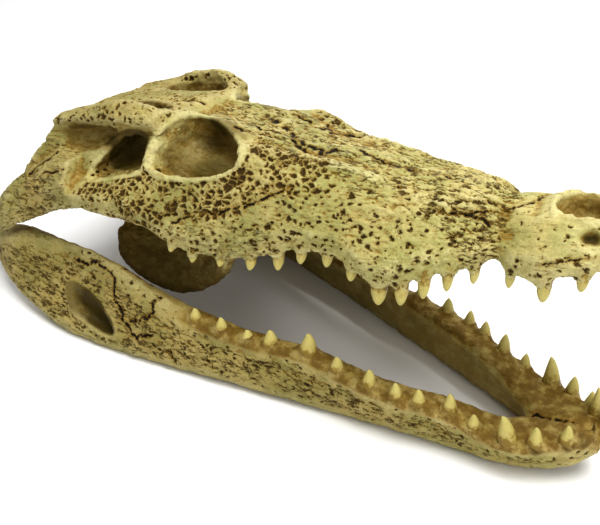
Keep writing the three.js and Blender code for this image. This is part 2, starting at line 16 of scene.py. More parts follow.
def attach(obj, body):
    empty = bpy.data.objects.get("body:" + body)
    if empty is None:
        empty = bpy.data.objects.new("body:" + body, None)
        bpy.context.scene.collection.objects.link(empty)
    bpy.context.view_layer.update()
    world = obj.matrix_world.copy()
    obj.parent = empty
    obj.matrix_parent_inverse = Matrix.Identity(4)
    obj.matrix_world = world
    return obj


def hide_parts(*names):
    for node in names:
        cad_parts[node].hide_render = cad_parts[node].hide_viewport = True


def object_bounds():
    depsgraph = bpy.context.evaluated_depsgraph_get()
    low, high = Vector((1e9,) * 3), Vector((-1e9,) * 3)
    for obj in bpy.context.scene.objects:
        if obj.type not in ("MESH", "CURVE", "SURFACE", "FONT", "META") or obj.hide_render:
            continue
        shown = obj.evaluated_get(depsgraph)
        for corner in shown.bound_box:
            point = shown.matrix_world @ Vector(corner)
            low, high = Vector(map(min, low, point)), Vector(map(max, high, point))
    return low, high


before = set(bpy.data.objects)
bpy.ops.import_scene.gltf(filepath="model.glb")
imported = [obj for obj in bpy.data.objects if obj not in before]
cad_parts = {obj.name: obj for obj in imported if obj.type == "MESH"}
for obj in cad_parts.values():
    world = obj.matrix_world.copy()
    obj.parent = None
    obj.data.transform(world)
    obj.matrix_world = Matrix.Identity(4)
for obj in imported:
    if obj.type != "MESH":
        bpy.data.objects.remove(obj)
CAD_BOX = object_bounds()
MM = 0.001
print("bones in the frame:", len(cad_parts), "box:", CAD_BOX)

# %% [markdown]
# ## The camera
# A camera is set early, because every later choice is judged through it. It is given
# the point where it stands and the point it looks at. Its axes are worked out with
# cross products, and a small roll tips the picture sideways.

# %% Set the camera
LOOK_AT = Vector((67.19, -64.31, 100.49)) * MM
STAND_AT = Vector((253.66, -314.45, 288.49)) * MM
ROLL = np.radians(1.22)
LENS, SENSOR_WIDTH = 48.98, 36  # both in millimetres
NEAREST_SEEN = 10 * MM

back = (STAND_AT - LOOK_AT).normalized()
level = Vector((0, 0, 1)).cross(back).normalized()
upright = back.cross(level)
right = level * np.cos(ROLL) + upright * np.sin(ROLL)
up = upright * np.cos(ROLL) - level * np.sin(ROLL)
camera = bpy.data.objects.new("camera", bpy.data.cameras.new("camera"))
camera.matrix_world = Matrix((right, up, back)).transposed().to_4x4()
camera.location = STAND_AT
camera.data.lens = LENS
camera.data.sensor_width = SENSOR_WIDTH
camera.data.clip_start = NEAREST_SEEN
bpy.context.collection.objects.link(camera)
bpy.context.scene.camera = camera
print("camera stands", round(STAND_AT.z / MM), "mm up and looks along", [round(-n, 2) for n in back])

# %% [markdown]
# ## The skull's own frames
# Anatomy is easiest to describe on a level skull. Cranium and jaw each have a frame
# that starts at the hinge between them, with x along the snout, y to the animal's
# left and z up. In the finished pose each frame is turned about the hinge by its own
# angle, so two small functions carry points to and from it.

# %% Frames of the cranium and the jaw
HINGE = np.array([-153.5, 0.0, 50.0])
CRANIUM_PITCH, JAW_PITCH = np.radians(11.2), np.radians(-1.1)
# places along the level skull: the ends, the notch, and where one bone meets the next
HEEL, JOINT, CHEEK, DENTARY, BROW = -44, 14, 66, 118, 127
FACE, NOTCH, LIP, JAW_TIP, SNOUT_TIP = 178, 299, 301, 352, 356


def turned(points, angle):
    c, s = np.cos(angle), np.sin(angle)
    x, y, z = np.asarray(points, float).T
    return np.stack([x * c - z * s, y, x * s + z * c], -1)


def to_world(points, pitch):
    return (turned(points, pitch) + HINGE) * MM


def to_head(points, pitch):
    return turned(np.asarray(points) / MM - HINGE, -pitch)


print("snout tip stands at", to_world([[SNOUT_TIP, 0, 5]], CRANIUM_PITCH).round(3))

# %% [markdown]
# ## Smooth lines
# A few numbers along the skull say how wide or high it is there. `line` joins them
# with a curve that never overshoots, so a ridge stays where it was measured. `ramp`
# goes softly from 0 to 1 between two values, and every mask below is made with it.

# %% Lines and ramps


def line(*pairs):
    at, value = np.array(pairs, float).T
    slope = np.diff(value) / np.diff(at)
    before, after = slope[:-1], slope[1:]
    turning = before * after <= 0
    inner = np.where(turning, 0, 2 * before * after / np.where(turning, 1, before + after))
    tangent = np.concatenate([slope[:1], inner, slope[-1:]])

    def height(x):
        x = np.clip(x, at[0], at[-1])
        i = np.clip(np.searchsorted(at, x) - 1, 0, len(at) - 2)
        step = at[i + 1] - at[i]
        t = (x - at[i]) / step
        s = 1 - t
        return (
            value[i] * (1 + 2 * t) * s * s
            + tangent[i] * step * t * s * s
            + value[i + 1] * t * t * (3 - 2 * t)
            - tangent[i + 1] * step * t * t * s
        )

    return height


def ramp(x, low, high):
    t = np.clip((x - low) / (high - low), 0, 1)
    return t * t * (3 - 2 * t)


side_y = line(
    [28, 66], [70, 64], [107, 61.5], [130, 60.5], [150, 58], [180, 50], [200, 45], [225, 42], [250, 44.5],
    [268, 41], [285, 29], [NOTCH, 22.5], [310, 26], [325, 28.5], [338, 26], [348, 17], [353, 11],
    [SNOUT_TIP, 5],
)
edge_z = line(
    [28, 4], [50, 10], [66, 13], [80, 11], [92, 9.5], [107, 9.5], [120, 4], [146, -5], [165, -7],
    [180, -7], [193, -3], [208, 0], [222, 0], [235, -4], [250, -10], [262, -9.5], [275, -5], [290, -4],
    [NOTCH, 0.5], [306, -3], [320, -4], [332, 0.5], [340, 1.5], [350, 2.5], [SNOUT_TIP, 3],
)
jaw_side_y = line(
    [HEEL, 60], [-20, 68], [0, 72], [12, 70], [26, 65], [45, 63], [78, 63.5], [100, 65], [120, 65],
    [150, 61], [180, 55], [210, 47], [241, 45], [265, 42], [290, 33], [310, 32], [325, 28], [338, 20],
    [346, 12], [JAW_TIP, 3],
)
jaw_top_z = line(
    [HEEL, -12], [-28, -16], [-12, -13], [-4, -9], [8, -5.5], [25, -6], [45, -3.5], [66, -1], [84, -2],
    [120, -9], [146, -13], [180, -15], [210, -13], [240, -16], [270, -17], [290, -18], [305, -23],
    [320, -22], [335, -18], [346, -16], [JAW_TIP, -21],
)
jaw_low_z = line(
    [HEEL, -24], [-25, -34], [0, -42], [25, -46.5], [45, -48.5], [78, -50.5], [112, -48.3], [151, -46.6],
    [241, -44.8], [285, -44.2], [304, -44.8], [322, -43], [335, -40], [345, -35], [JAW_TIP, -27],
)
print("the snout is", round(2 * float(side_y(250))), "mm wide at its largest tooth")

# %% [markdown]
# ## Numbers in and out of a mesh
# Blender hands over all vertices at once with `foreach_get`, and numpy does the sums
# in one go. An attribute is one number kept on each vertex. Geometry Nodes and
# materials can both read it by its name.

# %% Read and write vertices


def read(items, key, width=1):
    """One value for each item, or a row of them."""
    out = np.empty(len(items) * width)
    items.foreach_get(key, out)
    return out if width == 1 else out.reshape(-1, width)


def positions(mesh):
    return read(mesh.vertices, "co", 3)


def normals(mesh):
    return read(mesh.vertex_normals, "vector", 3)


def move(mesh, co):
    mesh.vertices.foreach_set("co", co.astype(np.float32).ravel())
    mesh.update()


def store(mesh, name, values):
    form, key = ("FLOAT_VECTOR", "vector") if values.ndim == 2 else ("FLOAT", "value")
    mesh.attributes.new(name, form, "POINT").data.foreach_set(key, values.astype(np.float32).ravel())


def apply_modifiers(obj):
    view = bpy.context.evaluated_depsgraph_get()
    mesh = bpy.data.meshes.new_from_object(obj.evaluated_get(view))
    obj.modifiers.clear()
    spare, obj.data = obj.data, mesh
    bpy.data.meshes.remove(spare)


def new_object(name, mesh):
    obj = bpy.data.objects.new(name, mesh)
    bpy.context.collection.objects.link(obj)
    return obj


# %% [markdown]
# ## From facets to bone
# The frame's solids have flat facets and hair-thin gaps. Real bone has neither. One
# way is to subdivide them, but facets of very different sizes subdivide badly. A
# voxel remesh is surer: it wraps the whole cranium in one even skin of small squares,
# which is then smoothed. The solids swell by a fraction of a millimetre first, so
# that the gaps close.

# %% Wrap the bones in an even skin
VOXEL = 0.8 * MM
SMOOTHING = 34
SWELL, WELD = 0.32 * MM, 0.01 * MM
JAW_PARTS = ("dentary", "surangular", "articular")
JAW_NODES = [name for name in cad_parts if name.startswith(JAW_PARTS)]
CRANIUM_NODES = [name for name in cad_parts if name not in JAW_NODES]


def bone_form(name, nodes):
    shell = bmesh.new()
    for node in nodes:
        shell.from_mesh(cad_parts[node].data)
    bmesh.ops.remove_doubles(shell, verts=shell.verts, dist=WELD)
    shell.normal_update()
    for vert in shell.verts:
        vert.co += vert.normal * SWELL
    mesh = bpy.data.meshes.new(name)
    shell.to_mesh(mesh)
    shell.free()
    obj = new_object(name, mesh)
    wrap = obj.modifiers.new("wrap", "REMESH")
    wrap.mode = "VOXEL"
    wrap.voxel_size = VOXEL
    relax = obj.modifiers.new("relax", "SMOOTH")
    relax.factor = 0.5
    relax.iterations = SMOOTHING
    apply_modifiers(obj)
    print(name, "has", len(obj.data.polygons), "squares")
    return obj


cranium = bone_form("cranium", CRANIUM_NODES)
jaw = bone_form("jaw", JAW_NODES)

# %% [markdown]
# ## Sculpting with strokes
# A sculptor adds ridges and hollows with strokes of a tool. Here a stroke is a path
# of a few points on the level skull. It lifts or sinks the skin along its normals,
# most on the path and less away from it. Strokes are mirrored, so both sides match.

# %% Strokes
STROKE_REACH, STROKE_END = 2.2, 2.19  # in widths of the stroke
BATCH = 20000  # points measured at a time, to save memory


def smooth_path(points, spacing=1.0):
    """Evenly spaced points on a rounded curve through the given ones."""
    p = np.asarray(points, float)
    p = np.vstack([2 * p[0] - p[1], p, 2 * p[-1] - p[-2]])
    out = []
    for a, b, c, d in zip(p[:-3], p[1:-2], p[2:-1], p[3:]):
        count = max(2, int(np.linalg.norm(c - b) / spacing))
        t = np.linspace(0, 1, count, endpoint=False)[:, None]
        out.append(0.5 * (2 * b + (c - a) * t + (2 * a - 5 * b + 4 * c - d) * t**2
                          + (3 * b - a - 3 * c + d) * t**3))
    return np.vstack(out + [p[-2][None]])


def distance_to(points, path, reach):
    """Distance from each point to a path, or the reach where it is farther."""
    out = np.full(len(points), float(reach))
    low, high = path.min(0) - reach, path.max(0) + reach
    near = np.nonzero(((points > low) & (points < high)).all(1))[0]
    for i in range(0, len(near), BATCH):
        part = near[i:i + BATCH]
        gap = np.linalg.norm(points[part, None] - path[None], axis=2).min(1)
        out[part] = np.minimum(gap, reach)
    return out


def mirrored(head):
    """The same points, with the right side folded onto the left."""
    return np.stack([head[:, 0], np.abs(head[:, 1]), head[:, 2]], -1)


def sculpt(form, pitch, strokes):
    folded = mirrored(to_head(positions(form.data), pitch))
    height = np.zeros(len(folded))
    for path, width, lift in strokes:
        gap = distance_to(folded, smooth_path(path), width * STROKE_REACH)
        height += lift * np.exp(-((gap / width) ** 2)) * (gap < width * STROKE_END)
    move(form.data, positions(form.data) + normals(form.data) * height[:, None] * MM)
    print(form.name, "strokes lift up to", round(height.max(), 2), "and sink to", round(height.min(), 2))


# %% [markdown]
# ## The forms of the cranium
# Each stroke below is a feature that an anatomist would name: the raised rims of the
# eye sockets and cheek openings, the bar behind the eye, the ridge that runs from the
# eye down the snout, and the swelling over the roots of the largest teeth.

# %% Sculpt the cranium
ORBIT_RIM = [(126, 15.5, 55.5), (119.5, 26, 55.5), (117, 37, 50), (116.5, 46.5, 35), (140, 46.5, 32.5),
             (165, 43.5, 36.5), (174, 36.5, 43.5), (161, 26, 50), (143, 17, 54.5), (126, 15.5, 55.5)]
CHEEK_RIM = [(104, 40, 50.5), (109, 42, 47), (109.5, 47, 34), (106, 48, 32), (90, 50.5, 28.5),
             (73, 52, 26), (70, 50.5, 31), (92, 40, 49), (104, 40, 50.5)]
NOSTRIL_RIM = [(333.5 + 15.5 * np.cos(a), 13.5 * np.sin(a), 23.5 - 1.5 * np.cos(a))
               for a in np.linspace(0, np.pi, 9)]

# (path, width, lift)
CRANIUM_STROKES = [
    (ORBIT_RIM, 2.4, 0.9),
    (CHEEK_RIM, 2.0, 0.6),
    (NOSTRIL_RIM, 2.2, 0.5),
    ([(112.7, 46.9, 34), (112.4, 42.6, 40.5), (113.3, 37.9, 47.6), (117.6, 33.2, 53.8)], 1.8, 1.3),
    ([(108.5, 45.5, 33), (108.5, 42, 40), (109, 38.5, 47)], 1.6, -0.7),
    ([(172, 34, 46), (190, 27, 43.5), (215, 21, 38), (240, 19, 32)], 4, 1.5),
    ([(176, 24, 47), (196, 15, 42), (222, 11, 37)], 3.5, -0.9),
    ([(213, 17, 38), (227, 19.5, 34), (241, 21, 30), (275, 20, 24)], 3, 0.8),
    ([(38, 46, 51), (62, 43, 53.5), (88, 41, 54)], 2.2, 0.8),
    ([(128, 0, 55), (142, 0, 54), (158, 0, 51)], 9, -1.6),
    ([(244, 43, 2), (256, 43, 1)], 9, 1.4),
    ([(306, 27, 6), (322, 28, 5)], 7, 0.8),
    ([(323, 15, 22.5), (320, 8, 24), (318.5, 0, 24.5)], 1.3, 1.2),
    ([(314, 12, 21.5), (312, 5, 23.5), (312, 0, 24)], 2.4, -1.1),
    ([(338.6, 18.8, 16.2), (341, 17.9, 16.2)], 2.5, -3.6),
    ([(66, 62, 15), (92, 60, 11.5), (110, 59, 9)], 2.4, 0.6),
    ([(4, 71, 13), (22, 66, 22), (45, 58, 32), (64, 52, 33)], 2.4, 0.9),
    ([(24, 60, 27), (38, 55, 35), (46, 51, 40)], 2, -0.6),
    ([(160, 3, 50), (176, 9, 46), (192, 9, 43), (206, 4, 40)], 2.2, 0.9),
    ([(164, 20, 49), (182, 17, 46), (196, 12, 42.5)], 1.8, 0.9),
    ([(300, 14, 20), (303, 19, 13), (303, 22, 7)], 5, -1.2),
    ([(30, 41, 56), (60, 42, 58), (100, 42, 58)], 2.4, 0.5),
]
sculpt(cranium, CRANIUM_PITCH, CRANIUM_STROKES)

# %% [markdown]
# ## The forms of the jaw
# The outside of the jaw has one large window near its rear, with a raised rim. The
# teeth stand in a long trough between the outer wall and the inner one.

# %% Sculpt the jaw
WINDOW_RIM = [(78 + 22 * np.cos(a) - 1.6 * np.sin(a),
               77.5 - 2 * np.cos(a),
               -28.5 - 7 * np.cos(a) + 8.4 * np.sin(a))
              for a in np.linspace(0, 2 * np.pi, 17)]
JAW_STROKES = [
    (WINDOW_RIM, 2.4, 0.8),
    ([(30, 65, -7), (60, 64, -3), (90, 64, -4.5), (118, 65, -10)], 2.5, 0.6),
    ([(150, 61.5, -17), (200, 50, -18), (250, 43.5, -20), (290, 33, -22), (325, 28, -25)], 2.6, 0.7),
    ([(120, 70, -34), (180, 58, -33), (240, 44, -33), (290, 32, -33)], 6, 0.5),
    ([(61, 79, -23), (68, 79, -26)], 4.5, -2.4),
]
sculpt(jaw, JAW_PITCH, JAW_STROKES)

# %% [markdown]
# ## Where each tooth stands
# One row of the table is one tooth, seen on the left side: its place along the skull,
# the length of its crown, its radius at the gum, and how it leans. The lines above
# give the rest, and the right side repeats the left. One tooth is missing: the
# foremost on the right of the jaw has fallen out, and only its socket is left.

# %% Place the tooth roots
# (place, crown, radius)
UPPER_TEETH = [
    (351, 6, 1.7), (347, 6.5, 1.9), (338.5, 7, 2.4), (323, 9, 2.9), (307, 7, 2.1), (290.5, 7, 2.1),
    (280.5, 9, 2.4), (272, 10, 2.7), (262, 10, 3), (250.5, 11, 3.7), (236, 7.5, 2.7), (222, 7.5, 2.6),
    (207.5, 7.5, 2.6), (194, 9.5, 2.9), (179, 6, 2.6), (163, 4.5, 2.2), (147, 5, 2.2), (134, 4, 2),
]
# (place, crown, radius, sideways lean, backward lean)
LOWER_TEETH = [
    (344.5, 17, 2.5, 0.3, 3), (339.5, 10, 2.4, 0.8, 1), (328, 11, 2.6, 1.5, 1), (317, 15, 3.2, 3, 5),
    (300, 9, 2.4, 2, 1), (287, 11, 2.6, 2, 1), (273, 9, 2.5, 1.5, 1), (262, 9, 2.4, 1.5, 1),
    (247.5, 10, 2.7, 1, 1), (229, 8, 2.6, 1, 1), (211, 12, 3.4, 1, 1), (190.5, 9, 3, 1, 1),
    (178, 6, 2.6, 0.5, 1), (162.5, 8, 2.6, 0.5, 1), (146.5, 7, 2.5, 0.5, 1),
]
FLIP = np.array([1, -1, 1])


def upper_roots():
    for x, crown, radius in UPPER_TEETH:
        y = float(side_y(x)) - 1.2 - radius * 1.2
        z = float(edge_z(x))
        lean = min(1.6, y * 0.1)
        yield (x, y, z + 1.4), (x - 1, y + lean + radius * 0.15, z - crown), radius


def lower_roots():
    for x, crown, radius, lean, back_lean in LOWER_TEETH:
        y = max(float(jaw_side_y(x)) - 1 - radius * 1.25, radius * 1.4 + 0.3)
        z = float(jaw_top_z(x))
        yield (x, y, z - 2), (x - back_lean, y + lean, z + crown - 1), radius


def both_sides(teeth):
    """Roots, tips and radii of the left side, and then of the right."""
    roots, tips, radii = (np.array(column, float) for column in zip(*teeth))
    return np.vstack([roots, roots * FLIP]), np.vstack([tips, tips * FLIP]), np.tile(radii, 2)


upper, lower = both_sides(upper_roots()), both_sides(lower_roots())
LOST_TOOTH = len(LOWER_TEETH)  # its row, as the right side follows the left
lower_standing = [np.delete(column, LOST_TOOTH, axis=0) for column in lower]
print("teeth above:", len(upper[2]), "below:", len(lower_standing[2]))

# %% [markdown]
# ## Sockets
# Bone grows up round each tooth as a low collar. The skin near a root is drawn along
# the tooth and a little outwards, and the bone between two teeth stays low, which
# gives the jaw its scalloped edge. Bone that stands higher than the collar is what
# is left of the frame's own plain tooth, and is pressed down out of sight.

# %% Raise a collar round every tooth
EMBEDDED = 1.6  # how deep a tooth's root starts below the edge of the bone
COLLAR_FLARE = 0.7
PRESSED = 0.9  # the share of the frame's own tooth that is pressed away


def raise_sockets(form, pitch, teeth, draw, spread):
    head = to_head(positions(form.data), pitch)
    for base, point, r in zip(*teeth):
        length = np.linalg.norm(point - base)
        axis = (point - base) / length
        near = np.nonzero(np.linalg.norm(head - base, axis=1) < max(r * 4, length + r * 2))[0]
        offset = head[near] - base
        along = offset @ axis
        side = offset - along[:, None] * axis
        gap = np.linalg.norm(side, axis=1)
        fade = np.exp(-((gap / (r * spread)) ** 4))
        pull = fade * ramp(along, -r * 2.5, r * 0.5) * (1 - ramp(along, r * 1.5, r * 3))
        flare = side / np.maximum(gap, 0.5)[:, None] * COLLAR_FLARE
        head[near] += pull[:, None] * (axis * draw + flare)
        spare = np.maximum((head[near] - base) @ axis - draw - EMBEDDED, 0) * (gap < r * 2.4)
        head[near] -= PRESSED * spare[:, None] * axis
    move(form.data, to_world(head, pitch))


raise_sockets(cranium, CRANIUM_PITCH, upper, 2.2, 1.4)
raise_sockets(jaw, JAW_PITCH, lower, 2.0, 1.7)
print("collars raised on", cranium.name, "and", jaw.name)

# %% [markdown]
# ## Masks: what kind of surface is where
# A mask is a number from 0 to 1 on each vertex. `hollow_mask` marks the inside of an
# opening from its middle, its long axis and its outward direction. The other masks
# say where the deep pits, the small holes, the streaks, the brown wash and the olive
# painted shade lie; the brown wash is partly painted shade too. They come from the
# same few lines that shape the skull.

# %% Mask the hollows
# name: (middle, outward direction, long axis with its half length, half width, wash that is partly painted
# shade, painted shade)
HOLLOWS = {
    "orbit": ((142, 32, 45), (0.05, 0.6, 0.8), (28, -1.5, -0.7), 19, 0.5, 0.7),
    "cheek": ((91, 46, 39), (-0.15, 0.93, -0.15), (20, -5, 11), 10.5, 0.9, 0.85),
    "ear": ((62, 46, 46), (-0.1, 0.98, -0.1), (26, -2, 1), 8, 0.65, 0.35),
    "table": ((91, 22.5, 63), (0, 0, 1), (24, 1, 0), 11.5, 0.9, 0.45),
    "nostril": ((333.5, 0, 24), (0, 0, 1), (15.5, 0, -1.5), 14, 0.7, 0.0),
    "lip hole": ((339.8, 18.4, 16.4), (0.25, 0.66, 0.7), (4.2, -1.6, 0), 3.4, 1.0, 1.1),
}
JAW_WINDOW = ((78, 77.5, -28.5), (0.1, 0.98, 0.1), (21.5, -2, -7), 8.4)
DEEPEST = 30  # no opening goes farther in than this


def hollow_mask(folded, hollow, sink=1.2):
    """Inside an opening: past its rim's plane and within its oval."""
    middle, outward, axis, half = hollow[:4]
    out = np.array(outward) / np.linalg.norm(outward)
    long_half = np.linalg.norm(axis)
    along = np.array(axis) / long_half
    across = np.cross(out, along)
    offset = folded - np.array(middle)
    depth = -(offset @ out)
    oval = np.hypot(offset @ along / long_half, offset @ across / half)
    return ramp(depth, sink - 0.6, sink + 2.2) * (1 - ramp(oval, 0.96, 1.08)) * (depth < DEEPEST)


def rim_mask(folded, rim, width):
    gap = distance_to(folded, smooth_path(rim), width * 1.5)
    return 1 - ramp(gap, width * 0.7, width * 1.4)


print("hollows in the cranium:", ", ".join(HOLLOWS))

# %% [markdown]
# ## Sutures and cracks
# Bones meet in sutures, and old bone cracks. Both are thin dark lines that wander. A
# line is given by a few points, and halfway points are pushed sideways again and
# again with a fixed seed, which is how a coastline is drawn. Each vertex then keeps
# its distance to the nearest line.

# %% Draw the sutures and cracks
# (points, wander, half width)
CRANIUM_SUTURES = [
    ([(110, -8, 61), (125, -3, 58), (137, -2, 54), (158, -10, 51), (171, -10, 48), (179, -8, 46)], 0.10, 0.2),
    ([(155, -17.5, 51), (166, -19.5, 49), (172, -15.5, 47.5), (179, -15, 46)], 0.12, 0.1),
    ([(160, 5, 50), (172, 0.5, 47), (181, -3.5, 45), (192, -9.5, 43), (200, -11, 41), (207, -10.5, 39.5),
      (209, -6, 39.5)], 0.3, 0.3),
    ([(181, 22, 45.5), (190.5, 17, 43), (195, 10, 42), (202, 4, 40.5)], 0.25, 0.2),
    ([(186, -10, 44), (193.5, -14, 42.5), (200.5, -15, 40.5), (209, -17.5, 38.5)], 0.2, 0.2),
    ([(137.5, -57.5, 11), (144.5, -55, 13.5), (155, -52.5, 15), (165.5, -49, 18), (175.5, -45.5, 20),
      (184, -42.5, 22), (190.5, -39.5, 25), (202.5, -34.5, 28.5)], 0.16, -0.05),
    ([(275, -23, 21.5), (284, -20, 20), (290, -16.5, 20.5), (296.5, -13, 20)], 0.12, -0.1),
    ([(285.5, -19.5, 20), (290, -18, 18.5), (293.5, -17, 17), (295.5, -17.5, 15)], 0.2, 0.0),
    ([(292.5, -11, 24), (298, -9.5, 21.5), (303, -9.5, 21)], 0.15, -0.1),
    ([(302.5, -8.5, 21), (308, -6.5, 22), (311, -1.5, 23), (311.5, 6.5, 22.5)], 0.15, -0.05),
    ([(321.5, -27.5, 5.5), (331.5, -27, 8), (337.5, -24, 9), (342.5, -21, 9.5)], 0.12, -0.25),
    ([(220, -1, 38), (230.5, -4, 36), (242, -4.5, 33.5), (255, -4.5, 31), (270.5, -4, 29.5)], 0.1, 0.1),
    ([(213.5, -17, 38), (226.5, -19.5, 34), (241, -21, 30), (254, -20.5, 28)], 0.15, 0.0),
    ([(21, -59, 27.5), (27.5, -55.5, 32), (38, -53.5, 37), (42, -50, 40)], 0.1, 0.1),
    ([(31.5, -61, 28), (48.5, -61.5, 31.5), (58.5, -60, 34)], 0.1, 0.0),
]
JAW_SUTURES = [
    ([(55, -63.5, -9), (67, -64, -8.5), (72, -62.5, -4.5), (80, -63, -5.5), (88, -63.5, -7), (91, -65, -10),
      (92, -67.5, -15.5), (101, -70.5, -23.5), (102.5, -72, -27), (109, -72.5, -30), (115.5, -72.5, -33),
      (123, -70, -29.5), (135, -68.5, -35), (140, -68.5, -39.5)], 0.2, 0.2),
    ([(102.5, -72, -27), (114.5, -69.5, -23.5), (121.5, -65.5, -16.5), (119.5, -64, -12.5),
      (122.5, -60, -9.5)], 0.25, 0.05),
    ([(90, -63.5, -7), (94, -57.5, -4), (101.5, -56.5, -5.5), (112, -55.5, -8)], 0.15, -0.05),
    ([(312, 1, -25), (325.5, 1, -23), (337, 0.9, -19)], 0.16, 0.1),
]
FIRST_STEP, HALVINGS = 8.0, 4  # a line's steps at first, and how often they are halved
MIDDLE_BAND = 5  # a line that comes this near to the middle has no mirror image
MIRROR_SEED = 40  # what a mirror image adds to its line's seed, to wander in its own way


def wandering(points, rough, seed):
    rng = np.random.default_rng(seed)
    path = smooth_path(points, FIRST_STEP)
    for _ in range(HALVINGS):
        step = np.diff(path, axis=0)
        length = np.linalg.norm(step, axis=1, keepdims=True)
        middle = (path[:-1] + path[1:]) / 2 + rng.normal(0, rough, step.shape) * length
        path = np.insert(path, range(1, len(path)), middle, axis=0)
    return path


def suture_distance(head, sutures, reach=4.0):
    """Distance to the nearest line, less the line's own half width."""
    nearest = np.full(len(head), reach)
    for i, (points, rough, wide) in enumerate(sutures):
        drawn = [(1, i)]
        if min(abs(y) for _, y, _ in points) > MIDDLE_BAND:
            drawn.append((-1, i + MIRROR_SEED))
        for flip, seed in drawn:
            path = wandering(np.array(points, float) * [1, flip, 1], rough, seed)
            nearest = np.minimum(nearest, distance_to(head, path, reach) - wide)
    return nearest


print("sutures on the cranium:", len(CRANIUM_SUTURES), "on the jaw:", len(JAW_SUTURES))

# %% [markdown]
# ## Masks for the cranium
# The cheek and the bone before the eye have the deepest pits. The flat skull table
# has smaller ones. Streaks run along the roof of the snout, and small round holes
# for nerves follow the tooth rows.

# %% Mask the cranium
BARE_RIMS = ((ORBIT_RIM, 2.6), (CHEEK_RIM, 2.2), (NOSTRIL_RIM, 2.2))  # and how wide they are bare


def within(x, start, full, fading, end):
    return ramp(x, start, full) * (1 - ramp(x, fading, end))


def read_surface(mesh, pitch):
    """Points on the level skull, the same folded to one side, and where they face."""
    head = to_head(positions(mesh), pitch)
    facing = turned(normals(mesh), -pitch)
    facing[:, 1] *= np.sign(head[:, 1])
    return head, mirrored(head), facing


def tooth_wash(head, teeth, reach):
    wash = np.zeros(len(head))
    for base, r in zip(teeth[0], teeth[2]):
        gap = np.linalg.norm(head - base, axis=1)
        wash = np.maximum(wash, 1 - ramp(gap, r * 1.1, r * 1.1 + reach))
    return wash


def store_masks(mesh, head, skin, carved, painted, sutures):
    """Carved masks stay on the outer skin. Painted ones may lie anywhere."""
    store(mesh, "place", head)
    for name, mask in carved.items():
        store(mesh, name, np.clip(mask, 0, 1) * skin)
    for name, mask in painted.items():
        store(mesh, name, np.clip(mask, 0, 1))
    store(mesh, "suture", suture_distance(head, sutures))
    print("share of outer skin:", round(float(skin.mean()), 2))


def mask_cranium(mesh):
    head, folded, facing = read_surface(mesh, CRANIUM_PITCH)
    x, y, z = folded.T
    inside = {name: hollow_mask(folded, hollow) for name, hollow in HOLLOWS.items()}
    hidden = np.max(list(inside.values()), axis=0)
    # the underside: the palate, the inner side of the tooth row and the rear flange
    palate = ramp(-facing[:, 2], 0.25, 0.6) * (y < side_y(x) - 2.5)
    inward = ramp(-facing[:, 1], 0.2, 0.5) * (z < 20)
    flange = ramp(edge_z(x) - z, -1, 3) * ramp(x, 38, 44) * (1 - ramp(x, 150, 160)) * (y < side_y(x) - 6)
    under = np.maximum.reduce([palate, inward, flange])
    bare = np.maximum.reduce([rim_mask(folded, rim, width) for rim, width in BARE_RIMS])
    skin = (1 - hidden) * (1 - under) * (1 - bare * 0.9)
    # regions of the outer skin
    margin = 1 - ramp(z - edge_z(x), 4, 15)
    cheek = within(x, 58, 74, 172, 190) * (1 - ramp(z, 33, 40)) * ramp(y, 36, 42)
    lacrimal = within(x, 164, 178, 212, 238) * ramp(z, 18, 28) * ramp(y, 14, 24)
    table = ramp(z, 50, 54) * (1 - ramp(x, 116, 128))
    brow = within(x, 120, 130, 172, 190) * (1 - ramp(y, 18, 26)) * ramp(z, 40, 44)
    flank = within(x, 176, 200, 292, 304) * (1 - ramp(z, 27, 33))
    lower_cheek = within(x, 122, 140, 180, 200) * (1 - ramp(z, 10, 18))
    roof = within(x, 172, 196, 296, 312) * (1 - ramp(y, 20, 30))
    front = ramp(x, 296, 308)
    rear = 1 - ramp(x, 56, 72)
    patch = np.exp(-(((x - 30) / 13) ** 2)) * ramp(y, 52, 58) * (1 - ramp(z, 24, 32))
    carved = {
        "dense": (cheek * (1 - 0.6 * lower_cheek) + 0.95 * lacrimal + 0.7 * table + 0.45 * brow
                  + 0.4 * patch),
        "dots": flank + 0.6 * front + 0.8 * lower_cheek + 0.75 * table + 0.4 * margin,
        "streaks": (roof + 0.9 * brow + 0.6 * rear * (z < 50) + 0.6 * lower_cheek + 0.5 * flank
                    + 0.5 * patch),
    }
    # in the openings the brown wash is partly painted shade, and the olive shade is painted shade
    wash, shade = (sum(HOLLOWS[name][column] * mask for name, mask in inside.items()) for column in (4, 5))
    # on the underside and the skull table the wash is partly painted shade; round the teeth and on the patch
    # near the hinge it is a stain
    wash = np.maximum.reduce([wash, 0.8 * under, 0.6 * patch, 0.25 * rear * skin, 0.25 * table * skin,
                              tooth_wash(head, upper, 2.0) * 0.55])
    # the skin of the rear half is painted darker with the olive of the shade, fading out between x = 150 and
    # 250
    darker_rear = 0.16 * (1 - ramp(x, 150, 250)) * skin
    # painted shade on the flange, darker towards its bottom
    lower_flange_shade = flange * (0.55 * ramp(-z, 2, 24) - 0.3)
    # the underside gets an olive painted shade as well
    painted = {"wash": wash, "shade": shade + darker_rear + 0.4 * under + lower_flange_shade}
    store_masks(mesh, head, skin, carved, painted, CRANIUM_SUTURES)


mask_cranium(cranium.data)
